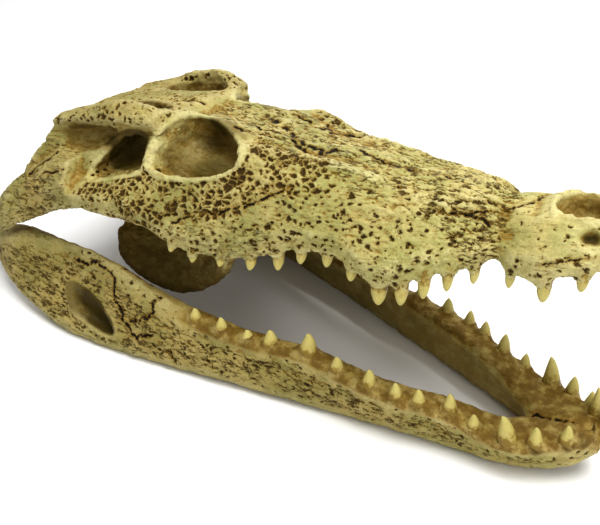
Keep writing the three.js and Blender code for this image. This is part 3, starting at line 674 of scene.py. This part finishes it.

# %% [markdown]
# ## Masks for the jaw
# The jaw's outer wall is streaked along its length, with a band of pits above a
# smooth lower edge. The trough of the teeth is stained, and a brown wash that is
# partly painted shade and an olive painted shade darken the window, the inner wall
# and the outer wall.

# %% Mask the jaw


def mask_jaw(mesh):
    head, folded, facing = read_surface(mesh, JAW_PITCH)
    x, y, z = folded.T
    front = ramp(x, 325, 345)
    outer = np.maximum(ramp(facing[:, 1], -0.1, 0.35), ramp(facing[:, 0], 0.1, 0.5) * front)
    window = hollow_mask(folded, JAW_WINDOW, sink=-1.2)
    below_top, above_low = z - jaw_top_z(x), z - jaw_low_z(x)
    trough = ramp(below_top, -6.5, -2.5) * ramp(x, 118, 150)
    skin = outer * (1 - window) * (1 - trough) * (1 - 0.9 * rim_mask(folded, WINDOW_RIM, 2.4))
    band = ramp(above_low, 5, 11) * (1 - ramp(below_top, -12, -6))
    gums = tooth_wash(head, lower, 3.0)
    carved = {
        "dense": 0.55 * band * ramp(x, 118, 170),
        "dots": 0.85 * ramp(above_low, 2, 8) * ramp(x, 20, 60) + 0.5 * front,
        "streaks": (0.5 + 0.5 * band) * (1 - 0.5 * front),
    }
    # the trough and the gums are stained; on the inner wall, in the window and along the outer wall the wash
    # is partly painted shade
    wash = [trough * 0.9, (1 - outer) * 0.62, window * 0.5, gums * 0.95, outer * (0.24 + 0.2 * band)]
    shade = [
        # painted shade in the window, and on the inner wall less towards the front
        window * 0.95,
        (1 - outer) * (1 - trough) * (0.26 - 0.2 * ramp(x, 200, 300)),
        # a darker ring round the foot of each lower tooth, in the olive of the painted shade
        0.5 * ramp(gums, 0.3, 0.9) * trough,
        # painted shade on the outer wall, fading out towards the front
        0.17 * outer * (1 - ramp(x, 210, 320)),
    ]
    painted = {"wash": np.maximum.reduce(wash), "shade": np.maximum.reduce(shade)}
    store_masks(mesh, head, skin, carved, painted, JAW_SUTURES)


mask_jaw(jaw.data)

# %% [markdown]
# ## A tree with short words
# Shader trees and geometry trees are built the same way: add a node, set its options,
# and give each input a value or a link. This class keeps a tree and does all three in
# one line. It also has a short word for each sum that comes back often.

# %% Node helpers
MASKS = ("Dense", "Dots", "Streaks", "Wash", "Shade", "Suture", "Cavity", "Hollow")
CARVED_MASKS = MASKS[:3]
FLOAT, VECTOR, COLOR = "NodeSocketFloat", "NodeSocketVector", "NodeSocketColor"
GEOMETRY, MATERIAL = "NodeSocketGeometry", "NodeSocketMaterial"


class Tree:
    def __init__(self, data):
        self.data = data

    def give(self, sockets, values):
        """Gives sockets plain values, or links from other nodes."""
        for socket, value in values.items():
            if isinstance(value, bpy.types.NodeSocket):
                self.data.links.new(value, sockets[socket])
            else:
                sockets[socket].default_value = value

    def node(self, kind, inputs=None, **settings):
        made = self.data.nodes.new(kind)
        for key, value in settings.items():
            setattr(made, key, value)
        self.give(made.inputs, inputs or {})
        return made

    def out(self, kind, inputs=None, **settings):
        """The first output of a new node."""
        return self.node(kind, inputs, **settings).outputs[0]

    def sum(self, operation, *values):
        return self.out("ShaderNodeMath", dict(enumerate(values)), operation=operation)

    def times(self, first, second):
        return self.sum("MULTIPLY", first, second)

    def plus(self, first, second):
        return self.sum("ADD", first, second)

    def less(self, first, second):
        return self.sum("SUBTRACT", first, second)

    def most(self, first, second):
        return self.sum("MAXIMUM", first, second)

    def between(self, value, low, high, to_low=0.0, to_high=1.0):
        """Goes softly from to_low to to_high as value goes from low to high."""
        inputs = {"Value": value, "From Min": low, "From Max": high, "To Min": to_low, "To Max": to_high}
        return self.out("ShaderNodeMapRange", inputs, interpolation_type="SMOOTHSTEP")

    def vectors(self, operation, first, second):
        return self.out("ShaderNodeVectorMath", {0: first, 1: second}, operation=operation)

    def stretched(self, place, share):
        """Draws a pattern out along the skull."""
        return self.vectors("MULTIPLY", place, (share, 1, 1))

    def noise(self, place, scale, detail=2.0, roughness=0.5, output="Fac"):
        inputs = {"Vector": place, "Scale": scale, "Detail": detail, "Roughness": roughness}
        return self.node("ShaderNodeTexNoise", inputs).outputs[output]


def new_group(name, kind, inputs, outputs):
    group = bpy.data.node_groups.new(name, kind)
    for way, sockets in (("INPUT", inputs), ("OUTPUT", outputs)):
        for socket, form in sockets.items():
            group.interface.new_socket(name=socket, in_out=way, socket_type=form)
    inlet, outlet = group.nodes.new("NodeGroupInput"), group.nodes.new("NodeGroupOutput")
    return Tree(group), inlet.outputs, outlet.inputs


print("masks that the trees read:", ", ".join(MASKS))

# %% [markdown]
# ## One rule for pits, used twice
# The pits must be dark exactly where they are deep. So one function writes the rule
# for pits, first as a geometry group that sinks the skin and then as a shader group
# that paints it. Deep pits are whole Voronoi cells with a pale net of ridges left
# between them. Small holes and streaks are discs round the cell centres. The masks
# widen or narrow them, and slow noise makes neighbours differ. Long creases lie where
# a stretched noise passes through its middle value.

# %% The rule for pits
# millimetres between the middles of deep pits, of small holes and of streaks
PIT_CELL, DOT_CELL, STREAK_CELL = 3.4, 2.8, 2.0


def pit_rule(name, kind):
    tree, given, results = new_group(
        name, kind,
        {"Place": VECTOR, **dict.fromkeys(CARVED_MASKS, FLOAT)},
        dict.fromkeys(("Pit", "Halo", "Dot", "Crease"), FLOAT),
    )
    place = given["Place"]
    drift = tree.vectors("SUBTRACT", tree.noise(place, 0.33, 3.0, 0.65, "Color"), (0.5, 0.5, 0.5))
    wrinkled = tree.vectors("ADD", place, tree.vectors("MULTIPLY", drift, (4.5, 4.5, 4.5)))
    patches = tree.between(tree.noise(place, 0.1), 0.32, 0.6, 0.64, 1.04)

    def cells(vector, cell, output, feature="F1"):
        inputs = {"Vector": vector, "Scale": 1 / cell, "Randomness": 1.0}
        return tree.node("ShaderNodeTexVoronoi", inputs, feature=feature).outputs[output]

    def luck(vector, cell, low, high):
        """A number of its own for each cell."""
        return tree.between(tree.noise(cells(vector, cell, "Position"), 2.3, 0.0), 0.3, 0.7, low, high)

    def discs(mask, share, cell, size, soft):
        vector = tree.stretched(wrinkled, share)
        limit = tree.times(tree.times(given[mask], size), luck(vector, cell, 0.35, 1.3))
        inner = tree.less(tree.times(limit, patches), cells(vector, cell, "Distance"))
        return tree.between(inner, -0.02, soft), tree.between(inner, -0.2, 0.1)

    vector = tree.stretched(wrinkled, 0.8)
    wanted = tree.between(tree.times(given["Dense"], patches), 0.0, 1.0, 0.62, 0.1)
    limit = tree.plus(wanted, luck(vector, PIT_CELL, -0.1, 0.1))
    inner = tree.less(cells(vector, PIT_CELL, "Distance", "DISTANCE_TO_EDGE"), limit)
    allowed = tree.between(given["Dense"], 0.05, 0.2)
    deep = tree.times(tree.between(inner, -0.02, 0.14), allowed)
    halo = tree.times(tree.between(inner, -0.16, 0.06), allowed)
    dot, dot_halo = discs("Dots", 0.7, DOT_CELL, 0.37, 0.12)
    streak, streak_halo = discs("Streaks", 0.24, STREAK_CELL, 0.43, 0.18)
    small = tree.most(dot, tree.times(streak, 0.85))
    small_halo = tree.times(tree.most(dot_halo, streak_halo), 0.7)
    folds = tree.noise(tree.stretched(place, 0.26), 0.32, 3.0, 0.6)
    fold = tree.between(tree.sum("ABSOLUTE", tree.less(folds, 0.5)), 0.085, 0.0)
    tree.give(results, {
        "Pit": tree.most(deep, small),
        "Halo": tree.most(halo, small_halo),
        "Dot": small,
        "Crease": tree.times(fold, tree.between(given["Streaks"], 0.15, 0.8)),
    })
    return tree.data


PITS_IN_MESH = pit_rule("pits in the mesh", "GeometryNodeTree")
PITS_IN_PAINT = pit_rule("pits in the paint", "ShaderNodeTree")
print("pit rule has", len(PITS_IN_PAINT.nodes), "nodes")

# %% [markdown]
# ## The bone's paint
# The cast is a pale yellow bone. Brown lies in its pits, cracks and hollows and fades
# out round them, partly a brown wash and partly painted shade. The openings and the
# underside get an olive painted shade, and raised parts are lighter, for wear and as
# a painted highlight. The shader group puts out a colour, a height for the bump and a
# roughness, from the masks and the rule for pits.

# %% Bone material
PALE_BONE = (0.50, 0.43, 0.165, 1)
GREEN_BONE = (0.385, 0.36, 0.125, 1)
# lighter bone for worn parts and for the painted highlight on what stands out
WORN_AND_LIT_BONE = (0.62, 0.565, 0.28, 1)
# ochre of the wash, partly painted shade where it fills hollows
OCHRE_WASH_AND_SHADE = (0.28, 0.155, 0.016, 1)
# dark brown of the thick wash, partly painted shade in pits, creases and concave places
BROWN_WASH_AND_SHADE = (0.034, 0.017, 0.002, 1)
DARK_LINE = (0.010, 0.005, 0.002, 1)
OLIVE_SHADE = (0.058, 0.040, 0.005, 1)


def mixed(tree, share, first, second):
    """A blend of two colours, whose sockets the Mix node knows by number."""
    return tree.node("ShaderNodeMix", {0: share, 6: first, 7: second}, data_type="RGBA").outputs[2]


def bone_paint():
    tree, given, results = new_group(
        "bone paint", "ShaderNodeTree",
        {"Place": VECTOR, **dict.fromkeys(MASKS, FLOAT)},
        {"Color": COLOR, "Height": FLOAT, "Roughness": FLOAT},
    )
    place, wash, cavity, hollow = (given[name] for name in ("Place", "Wash", "Cavity", "Hollow"))
    pits = tree.node("ShaderNodeGroup", {name: given[name] for name in ("Place", *CARVED_MASKS)},
                     node_tree=PITS_IN_PAINT).outputs
    patches = tree.noise(place, 0.045, 3.0)
    blot = tree.noise(place, 0.16, 4.0, 0.6)
    speckle = tree.noise(place, 1.1, 3.0, 0.6)
    grain = tree.noise(tree.stretched(place, 0.14), 0.8, 5.0, 0.62)
    # the dry colour is greener in places, and what stands out is lighter, for wear and as a painted highlight
    color = mixed(tree, tree.between(patches, 0.4, 0.62), PALE_BONE, GREEN_BONE)
    worn_and_lit = tree.between(tree.times(hollow, -1.0), 0.25, 1.3, 0.0, 0.55)
    color = mixed(tree, worn_and_lit, color, WORN_AND_LIT_BONE)
    # ochre lies where the surface is low, in blots, along the grain and round the pits: a wash that is partly
    # painted shade
    low = tree.plus(hollow, tree.times(cavity, 0.8))
    low = tree.plus(low, tree.times(tree.less(blot, 0.5), 1.1))
    stain_and_shade = tree.times(tree.between(low, -0.1, 0.65, 0.0, 0.9), tree.between(grain, 0.35, 0.62, 0.55, 1.0))
    hairline = tree.times(tree.between(grain, 0.55, 0.68), 0.65)
    stain_and_shade = tree.most(tree.most(stain_and_shade, hairline), tree.times(pits["Halo"], 0.8))
    blotted_wash_and_shade = tree.times(wash, tree.between(blot, 0.3, 0.6, 0.5, 1.0))
    stain_and_shade = tree.sum("MINIMUM", tree.most(stain_and_shade, blotted_wash_and_shade), 1.0)
    color = mixed(tree, stain_and_shade, color, OCHRE_WASH_AND_SHADE)
    # dark brown fills the pits, fine creases and blots of the stained parts, and concave places: a thick wash
    # and partly painted shade
    crease = tree.times(tree.between(pits["Crease"], 0.55, 0.95), tree.between(blot, 0.4, 0.54))
    heavy = tree.times(tree.between(wash, 0.55, 1.0), tree.between(blot, 0.35, 0.62))
    deep = tree.most(pits["Pit"], tree.between(cavity, 0.3, 0.75))
    deep = tree.most(tree.most(deep, tree.times(crease, 0.8)), tree.times(heavy, 0.6))
    color = mixed(tree, tree.times(deep, 0.9), color, BROWN_WASH_AND_SHADE)
    # olive painted shade darkens the openings, the underside and the inner jaw in patches, and the same olive
    # the rear and rings round the teeth
    patchy_shade = tree.times(given["Shade"], tree.between(patches, 0.35, 0.6, 0.65, 1.1))
    color = mixed(tree, tree.sum("MINIMUM", patchy_shade, 1.0), color, OLIVE_SHADE)
    # sutures and cracks are thin dark lines with a stain on both sides
    wander = tree.plus(given["Suture"], tree.between(speckle, 0.3, 0.7, -0.15, 0.15))
    split = tree.between(wander, 0.95, 0.45)
    color = mixed(tree, tree.times(tree.between(wander, 2.0, 0.7), 0.5), color, OCHRE_WASH_AND_SHADE)
    color = mixed(tree, tree.times(split, 0.96), color, DARK_LINE)
    dust = {"Value": tree.between(speckle, 0.35, 0.7, 0.88, 1.1), "Color": color}
    height = tree.less(tree.times(speckle, 0.16), tree.times(pits["Pit"], 0.5))
    for dent, depth in ((split, 0.5), (hairline, 0.35), (crease, 0.5)):
        height = tree.less(height, tree.times(dent, depth))
    tree.give(results, {
        "Color": tree.out("ShaderNodeHueSaturation", dust),
        "Height": tree.plus(height, tree.times(blot, 0.5)),
        "Roughness": tree.between(stain_and_shade, 0.0, 1.0, 0.48, 0.66),
    })
    return tree.data


BONE_PAINT = bone_paint()
print("bone paint has", len(BONE_PAINT.nodes), "nodes")


def new_material(name, specular):
    """A material, its tree and the inputs of its shader."""
    material = bpy.data.materials.new(name)
    material.use_nodes = True
    shader = material.node_tree.nodes["Principled BSDF"].inputs
    shader["Specular IOR Level"].default_value = specular
    return material, Tree(material.node_tree), shader


def mask_of(tree, name, output="Fac"):
    return tree.node("ShaderNodeAttribute", attribute_name=name, attribute_type="GEOMETRY").outputs[output]


def coat(tree, shader, color, roughness, height, strength, depth):
    bump = tree.out("ShaderNodeBump", {"Strength": strength, "Distance": depth, "Height": height})
    tree.give(shader, {"Base Color": color, "Roughness": roughness, "Normal": bump})


def bone_material():
    material, tree, shader = new_material("painted bone", 0.18)
    masks = {name: mask_of(tree, name.lower()) for name in MASKS}
    inputs = {"Place": mask_of(tree, "place", "Vector"), **masks}
    paint = tree.node("ShaderNodeGroup", inputs, node_tree=BONE_PAINT).outputs
    coat(tree, shader, paint["Color"], paint["Roughness"], paint["Height"], 0.8, 0.9 * MM)
    return material


BONE = bone_material()

# %% [markdown]
# ## Relief with Geometry Nodes
# A geometry tree now moves every vertex of the skin: pits and sutures sink, and soft
# ripples rise between them. It then compares each vertex with the blurred surface
# round it, and keeps the difference as the cavity and the broad hollow. The paint lays
# a brown wash that is partly painted shade where they are low, and makes what stands
# out lighter, for wear and as a painted highlight. The tree has named inputs, so the
# jaw and the cranium can use it with values of their own.

# %% Relief tree
BLURS = {"cavity": 6, "hollow": 70}  # rounds of blurring, for fine and for broad hollows


def named(tree, name, kind="FLOAT"):
    return tree.out("GeometryNodeInputNamedAttribute", {"Name": name}, data_type=kind)


def kept(tree, geometry, name, value):
    """Keeps a value on each point of the geometry."""
    inputs = {"Geometry": geometry, "Name": name, "Value": value}
    return tree.out("GeometryNodeStoreNamedAttribute", inputs, data_type="FLOAT", domain="POINT")


def finish_tree(tree, given, results, geometry):
    """Makes copies real and gives them their material, as every tree ends."""
    whole = tree.out("GeometryNodeRealizeInstances", {"Geometry": geometry})
    dressed = tree.out("GeometryNodeSetMaterial", {"Geometry": whole, "Material": given["Material"]})
    tree.give(results, {"Geometry": dressed})
    return tree.data


def relief_tree():
    sizes = dict.fromkeys(("Pit depth", "Ripple height", "Suture depth"), FLOAT)
    tree, given, results = new_group(
        "bone relief", "GeometryNodeTree",
        {"Geometry": GEOMETRY, **sizes, "Material": MATERIAL},
        {"Geometry": GEOMETRY},
    )
    place = named(tree, "place", "FLOAT_VECTOR")
    inputs = {"Place": place, **{name: named(tree, name.lower()) for name in CARVED_MASKS}}
    pits = tree.node("GeometryNodeGroup", inputs, node_tree=PITS_IN_MESH).outputs
    sunk = tree.times(pits["Pit"], given["Pit depth"])
    sunk = tree.less(sunk, tree.times(pits["Dot"], 0.2))
    sunk = tree.plus(sunk, tree.times(pits["Crease"], 0.65))
    ripple = tree.less(tree.noise(place, 0.1, 3.0), 0.5)
    bumps = tree.less(tree.noise(tree.stretched(place, 0.5), 0.3, 3.0, 0.6), 0.5)
    lift = tree.times(tree.plus(ripple, bumps), given["Ripple height"])
    groove = tree.between(named(tree, "suture"), 1.1, 0.0)
    lift = tree.less(lift, tree.times(groove, given["Suture depth"]))
    lift = tree.times(tree.less(lift, sunk), MM)
    normal = tree.out("GeometryNodeInputNormal")
    offset = tree.out("ShaderNodeVectorMath", {0: normal, "Scale": lift}, operation="SCALE")
    skin = tree.out("GeometryNodeSetPosition", {"Geometry": given["Geometry"], "Offset": offset})
    spot = tree.out("GeometryNodeInputPosition")
    for name, rounds in BLURS.items():
        inputs = {"Value": spot, "Iterations": max(1, rounds // (1))}
        blurred = tree.out("GeometryNodeBlurAttribute", inputs, data_type="FLOAT_VECTOR")
        rise = {0: tree.vectors("SUBTRACT", blurred, spot), 1: normal}
        toward = tree.node("ShaderNodeVectorMath", rise, operation="DOT_PRODUCT").outputs["Value"]
        skin = kept(tree, skin, name, tree.sum("DIVIDE", toward, MM))
    return finish_tree(tree, given, results, skin)


RELIEF = relief_tree()


def grow(form, group, values):
    """Runs a geometry tree on a form, with values for its named inputs."""
    modifier = form.modifiers.new("tree", "NODES")
    modifier.node_group = group
    for item in group.interface.items_tree:
        if item.in_out == "INPUT" and item.name in values:
            modifier[item.identifier] = values[item.name]
    apply_modifiers(form)


RELIEF_SIZES = {
    cranium: {"Pit depth": 1.1, "Ripple height": 2.1, "Suture depth": 0.9},
    jaw: {"Pit depth": 0.9, "Ripple height": 1.7, "Suture depth": 1.0},
}
for form, values in RELIEF_SIZES.items():
    grow(form, RELIEF, {**values, "Material": BONE})
    for name in BLURS:
        depths = read(form.data.attributes[name].data, "value")
        print(form.name, name, "in mm:", np.percentile(depths, (1, 50, 90, 99)).round(2))

# %% [markdown]
# ## Parting the bones
# The skull is still two skins. It is parted into the same bones as the frame, with
# the same boxes. The boolean modifier's manifold solver cuts a dense mesh in well
# under a second and closes both sides. New points on a cut have no masks, so they
# take those of the nearest old point.

# %% Part the bones
FAR = 400  # past every end of the skull, where a box needs no limit
TABLE_FLOOR, NASAL_HALF, FRONTAL_HALF = 50.5, 11, 20  # a height and two half widths


def cutter(boxes, pitch):
    solid = bmesh.new()
    for low_corner, high_corner in boxes:
        size = Vector(high_corner) - Vector(low_corner)
        middle = (Vector(high_corner) + Vector(low_corner)) / 2
        bmesh.ops.create_cube(solid, size=1, matrix=Matrix.Translation(middle) @ Matrix.Diagonal((*size, 1)))
    mesh = bpy.data.meshes.new("cutter")
    solid.to_mesh(mesh)
    solid.free()
    move(mesh, to_world(positions(mesh), pitch))
    return new_object("cutter", mesh)


def cut_by(form, tool, operation):
    modifier = form.modifiers.new("cut", "BOOLEAN")
    modifier.solver = "MANIFOLD"
    modifier.operation = operation
    modifier.object = tool
    apply_modifiers(form)


def piece_of(whole, name, boxes, pitch):
    """Takes one bone off the whole, and leaves the rest."""
    bone = new_object(name + "_bone", whole.data.copy())
    tool = cutter(boxes, pitch)
    cut_by(bone, tool, "INTERSECT")
    cut_by(whole, tool, "DIFFERENCE")
    bpy.data.objects.remove(tool)
    return bone


def sides(name, *boxes):
    flipped = [((a[0], -b[1], a[2]), (b[0], -a[1], b[2])) for a, b in boxes]
    return [(f"{name}_left", list(boxes)), (f"{name}_right", flipped)]


CRANIUM_BONES = [
    ("premaxilla", [((LIP, -FAR, -FAR), (FAR, FAR, FAR))]),
    ("skull_table", [((-FAR, -FAR, TABLE_FLOOR), (BROW, FAR, FAR))]),
    ("nasals", [((FACE, -NASAL_HALF, 14), (LIP, NASAL_HALF, FAR))]),
    ("frontal", [((BROW, -FRONTAL_HALF, 30), (FACE, FRONTAL_HALF, FAR))]),
    ("pterygoids", [((40, -52, -FAR), (122, 52, -1))]),
    *sides("maxilla", ((FACE, 0, -FAR), (LIP, FAR, FAR))),
    *sides("quadrate", ((-FAR, 24, -FAR), (CHEEK, FAR, FAR))),
    *sides("jugal", ((CHEEK, FRONTAL_HALF, -FAR), (FACE, FAR, FAR))),
]
bones = [piece_of(cranium, name, boxes, CRANIUM_PITCH) for name, boxes in CRANIUM_BONES]
cranium.name = "braincase_bone"
bones.append(cranium)

JAW_BONES = [
    *sides("dentary", ((DENTARY, 0, -FAR), (FAR, FAR, FAR))),
    *sides("articular", ((-FAR, 0, -FAR), (JOINT, FAR, FAR))),
    *sides("surangular", ((JOINT, 0, -FAR), (DENTARY, FAR, FAR))),
]
bones += [piece_of(jaw, name, boxes, JAW_PITCH) for name, boxes in JAW_BONES]
print("left of the jaw after parting:", len(jaw.data.vertices), "vertices")
bpy.data.objects.remove(jaw)

# %% [markdown]
# ## Mending the cut edges
# Each bone is looked through for points without a place. They take the masks of the
# nearest point that has one, found with a tree of points.

# %% Mend the masks on the cuts
SEARCH = 2 * MM  # how far round the lost points the known ones are looked for


def mend(bone):
    masks = bone.data.attributes
    place = read(masks["place"].data, "vector", 3)
    known = np.abs(place).sum(1) > 0.01
    if known.all():
        return 0
    co = positions(bone.data)
    lost = np.nonzero(~known)[0]
    place[lost] = to_head(co[lost], JAW_PITCH if bone.name.startswith(JAW_PARTS) else CRANIUM_PITCH)
    masks["place"].data.foreach_set("vector", place.astype(np.float32).ravel())
    low, high = co[lost].min(0) - SEARCH, co[lost].max(0) + SEARCH
    near = np.nonzero(known & ((co > low) & (co < high)).all(1))[0]
    tree = kdtree.KDTree(len(near))
    for i in near:
        tree.insert(co[i], int(i))
    tree.balance()
    nearest = np.array([tree.find(co[i])[1] for i in lost])
    for name in MASKS:
        data = masks[name.lower()].data
        values = read(data, "value")
        values[lost] = values[nearest]
        data.foreach_set("value", values.astype(np.float32))
    return len(lost)


print("points mended:", sum(mend(bone) for bone in bones))
for bone in bones:
    bone.data.shade_smooth()
    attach(bone, "root")
    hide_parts(bone.name.removesuffix("_bone"))
    print(bone.name, len(bone.data.polygons), "faces")

# %% [markdown]
# ## A tooth, two rows of teeth
# A tooth is a cone with a blunt tip and a slight curve. Geometry Nodes bend a
# circle's sweep into one, then stand a copy on every root, turned to lean like the
# real one and scaled to its own length. The crown keeps a number from gum to tip, so
# that the paint can change along it.

# %% Tooth tree
CROWN_SIDES, CROWN_RINGS = 16, 12


def tooth_tree():
    tree, given, results = new_group(
        "tooth row", "GeometryNodeTree",
        {"Geometry": GEOMETRY, "Curve": FLOAT, "Bluntness": FLOAT, "Flare": FLOAT, "Material": MATERIAL},
        {"Geometry": GEOMETRY},
    )
    middle = tree.out("ShaderNodeCombineXYZ", {"X": given["Curve"], "Z": 0.5})
    spine = tree.out("GeometryNodeCurveQuadraticBezier",
                     {"Resolution": CROWN_RINGS, "Start": (0, 0, 0), "Middle": middle, "End": (0, 0, 1)})
    along = tree.node("GeometryNodeSplineParameter").outputs["Factor"]
    narrow = tree.less(1.0, tree.sum("POWER", along, given["Bluntness"]))
    radius = tree.most(tree.sum("POWER", narrow, 0.75), 0.03)
    radius = tree.plus(radius, tree.times(tree.between(along, 0.42, 0.0), given["Flare"]))
    outline = tree.out("GeometryNodeCurvePrimitiveCircle", {"Resolution": CROWN_SIDES, "Radius": 1.0})
    crown = tree.out("GeometryNodeCurveToMesh",
                     {"Curve": kept(tree, spine, "crown", along), "Profile Curve": outline,
                      "Scale": radius, "Fill Caps": True})
    smooth = tree.out("GeometryNodeSetShadeSmooth", {"Geometry": crown})
    placed = tree.out("GeometryNodeInstanceOnPoints",
                      {"Points": given["Geometry"], "Instance": smooth,
                       "Rotation": named(tree, "turn", "FLOAT_VECTOR"),
                       "Scale": named(tree, "size", "FLOAT_VECTOR")})
    return finish_tree(tree, given, results, placed)


TOOTH_ROW = tooth_tree()
print("tooth tree has", len(TOOTH_ROW.nodes), "nodes")

# %% [markdown]
# ## Enamel
# The crowns are a creamy yellow, darker and browner where they leave the bone, with
# faint lines along them. The same wash as on the bone lies in the gum line.

# %% Tooth material
CREAM_ENAMEL = (0.53, 0.455, 0.150, 1)
GUM_BROWN = (0.175, 0.105, 0.012, 1)


def tooth_material():
    material, tree, shader = new_material("painted enamel", 0.25)
    place = tree.node("ShaderNodeTexCoord").outputs["Object"]
    blot = tree.noise(place, 420.0, 3.0, 0.6)
    lines = tree.noise(tree.vectors("MULTIPLY", place, (1, 1, 0.15)), 1500.0)
    gum = tree.plus(mask_of(tree, "crown"), tree.between(blot, 0.3, 0.7, -0.12, 0.12))
    color = mixed(tree, tree.between(gum, 0.7, 0.15, 0.0, 0.6), CREAM_ENAMEL, OCHRE_WASH_AND_SHADE)
    color = mixed(tree, tree.between(gum, 0.46, 0.24, 0.0, 0.75), color, GUM_BROWN)
    color = mixed(tree, tree.between(lines, 0.58, 0.75, 0.0, 0.35), color, OCHRE_WASH_AND_SHADE)
    coat(tree, shader, color, tree.between(lines, 0.3, 0.7, 0.3, 0.45), lines, 0.5, 0.2 * MM)
    return material


ENAMEL = tooth_material()
print("enamel has", len(ENAMEL.node_tree.nodes), "nodes")

# %% [markdown]
# ## Planting the teeth
# Each row starts as bare points, one on every root. Each point keeps how its tooth is
# turned and how large it is, and the tree stands the crowns on them. The teeth above
# are slim and blunt. Those below are stouter and widen a little at the gum.

# %% Plant the teeth


def plant(name, teeth, pitch, girth, values):
    root, tip, radius = to_world(teeth[0], pitch), to_world(teeth[1], pitch), teeth[2] * MM
    mesh = bpy.data.meshes.new(name)
    mesh.from_pydata(root.tolist(), [], [])
    axes = [Vector(axis) for axis in tip - root]
    turns = [tuple(axis.to_track_quat("Z", "X").to_euler()) for axis in axes]
    sizes = [(r * girth, r * girth, axis.length) for r, axis in zip(radius, axes)]
    store(mesh, "turn", np.array(turns))
    store(mesh, "size", np.array(sizes))
    row = new_object(name, mesh)
    grow(row, TOOTH_ROW, {**values, "Material": ENAMEL})
    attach(row, "root")
    print(name, "has", len(row.data.polygons), "faces")
    return row


UPPER_CROWN = {"Curve": 0.12, "Bluntness": 3.6, "Flare": 0.0}
LOWER_CROWN = {"Curve": 0.14, "Bluntness": 2.0, "Flare": 0.12}
upper_row = plant("teeth_upper", upper, CRANIUM_PITCH, 1.08, UPPER_CROWN)
lower_row = plant("teeth_lower", lower_standing, JAW_PITCH, 1.4, LOWER_CROWN)

# %% [markdown]
# ## Floor and light
# A plain pale floor and three soft lamps make a studio. The strongest lamp hangs above
# and a little in front, so that the roof of the skull is bright and the inside of
# the mouth stays dark.

# %% Stage
FLOOR_HALF = 3.0
FLOOR_CORNERS = [(-FLOOR_HALF, -FLOOR_HALF, 0), (FLOOR_HALF, -FLOOR_HALF, 0),
                 (FLOOR_HALF, FLOOR_HALF, 0), (-FLOOR_HALF, FLOOR_HALF, 0)]
PALE_FLOOR, FLOOR_ROUGHNESS = (0.9, 0.9, 0.9, 1), 0.9
LIT_POINT = Vector((0, 0, 0.06))
SKY_STRENGTH = 0.34


def stage_floor():
    mesh = bpy.data.meshes.new("floor")
    mesh.from_pydata(FLOOR_CORNERS, [], [(0, 1, 2, 3)])
    material, tree, shader = new_material("pale floor", 0.5)
    tree.give(shader, {"Base Color": PALE_FLOOR, "Roughness": FLOOR_ROUGHNESS})
    mesh.materials.append(material)
    return new_object("floor", mesh)


def lamp(name, place, size, watts):
    light = bpy.data.lights.new(name, "AREA")
    light.energy = watts
    light.size = size
    obj = new_object(name, light)
    obj.location = place
    obj.rotation_euler = (LIT_POINT - Vector(place)).to_track_quat("-Z", "Y").to_euler()


stage_floor()
lamp("overhead lamp", (0.3, -0.1, 1.2), 0.75, 14.5)
lamp("front lamp", (1.0, -0.5, 0.7), 0.8, 3)
lamp("rear lamp", (-0.6, 0.9, 0.8), 0.8, 4)
world = bpy.data.worlds.new("studio")
world.use_nodes = True
sky = world.node_tree.nodes["Background"].inputs
sky["Color"].default_value = (1, 1, 1, 1)
sky["Strength"].default_value = SKY_STRENGTH
bpy.context.scene.world = world
bpy.context.scene.view_settings.view_transform = "Standard"
bpy.context.scene.view_settings.look = "Medium High Contrast"
print("lamps:", [light.name for light in bpy.data.lights])

# %% [markdown]
# ## Keep the skull inside the frame's box
# The dressed skull is kept inside the frame's box. A few points stand out by a
# fraction of a millimetre where a bone swelled, so they are pressed back to it, which
# also seats the jaw flat on the floor.

# %% Keep the skull inside the frame's box
SEAT = 0.02 * MM  # how far inside the frame's box every point ends
low_corner, high_corner = (np.array(corner) for corner in CAD_BOX)
for piece in (*bones, upper_row, lower_row):
    move(piece.data, np.clip(positions(piece.data), low_corner + SEAT, high_corner - SEAT))
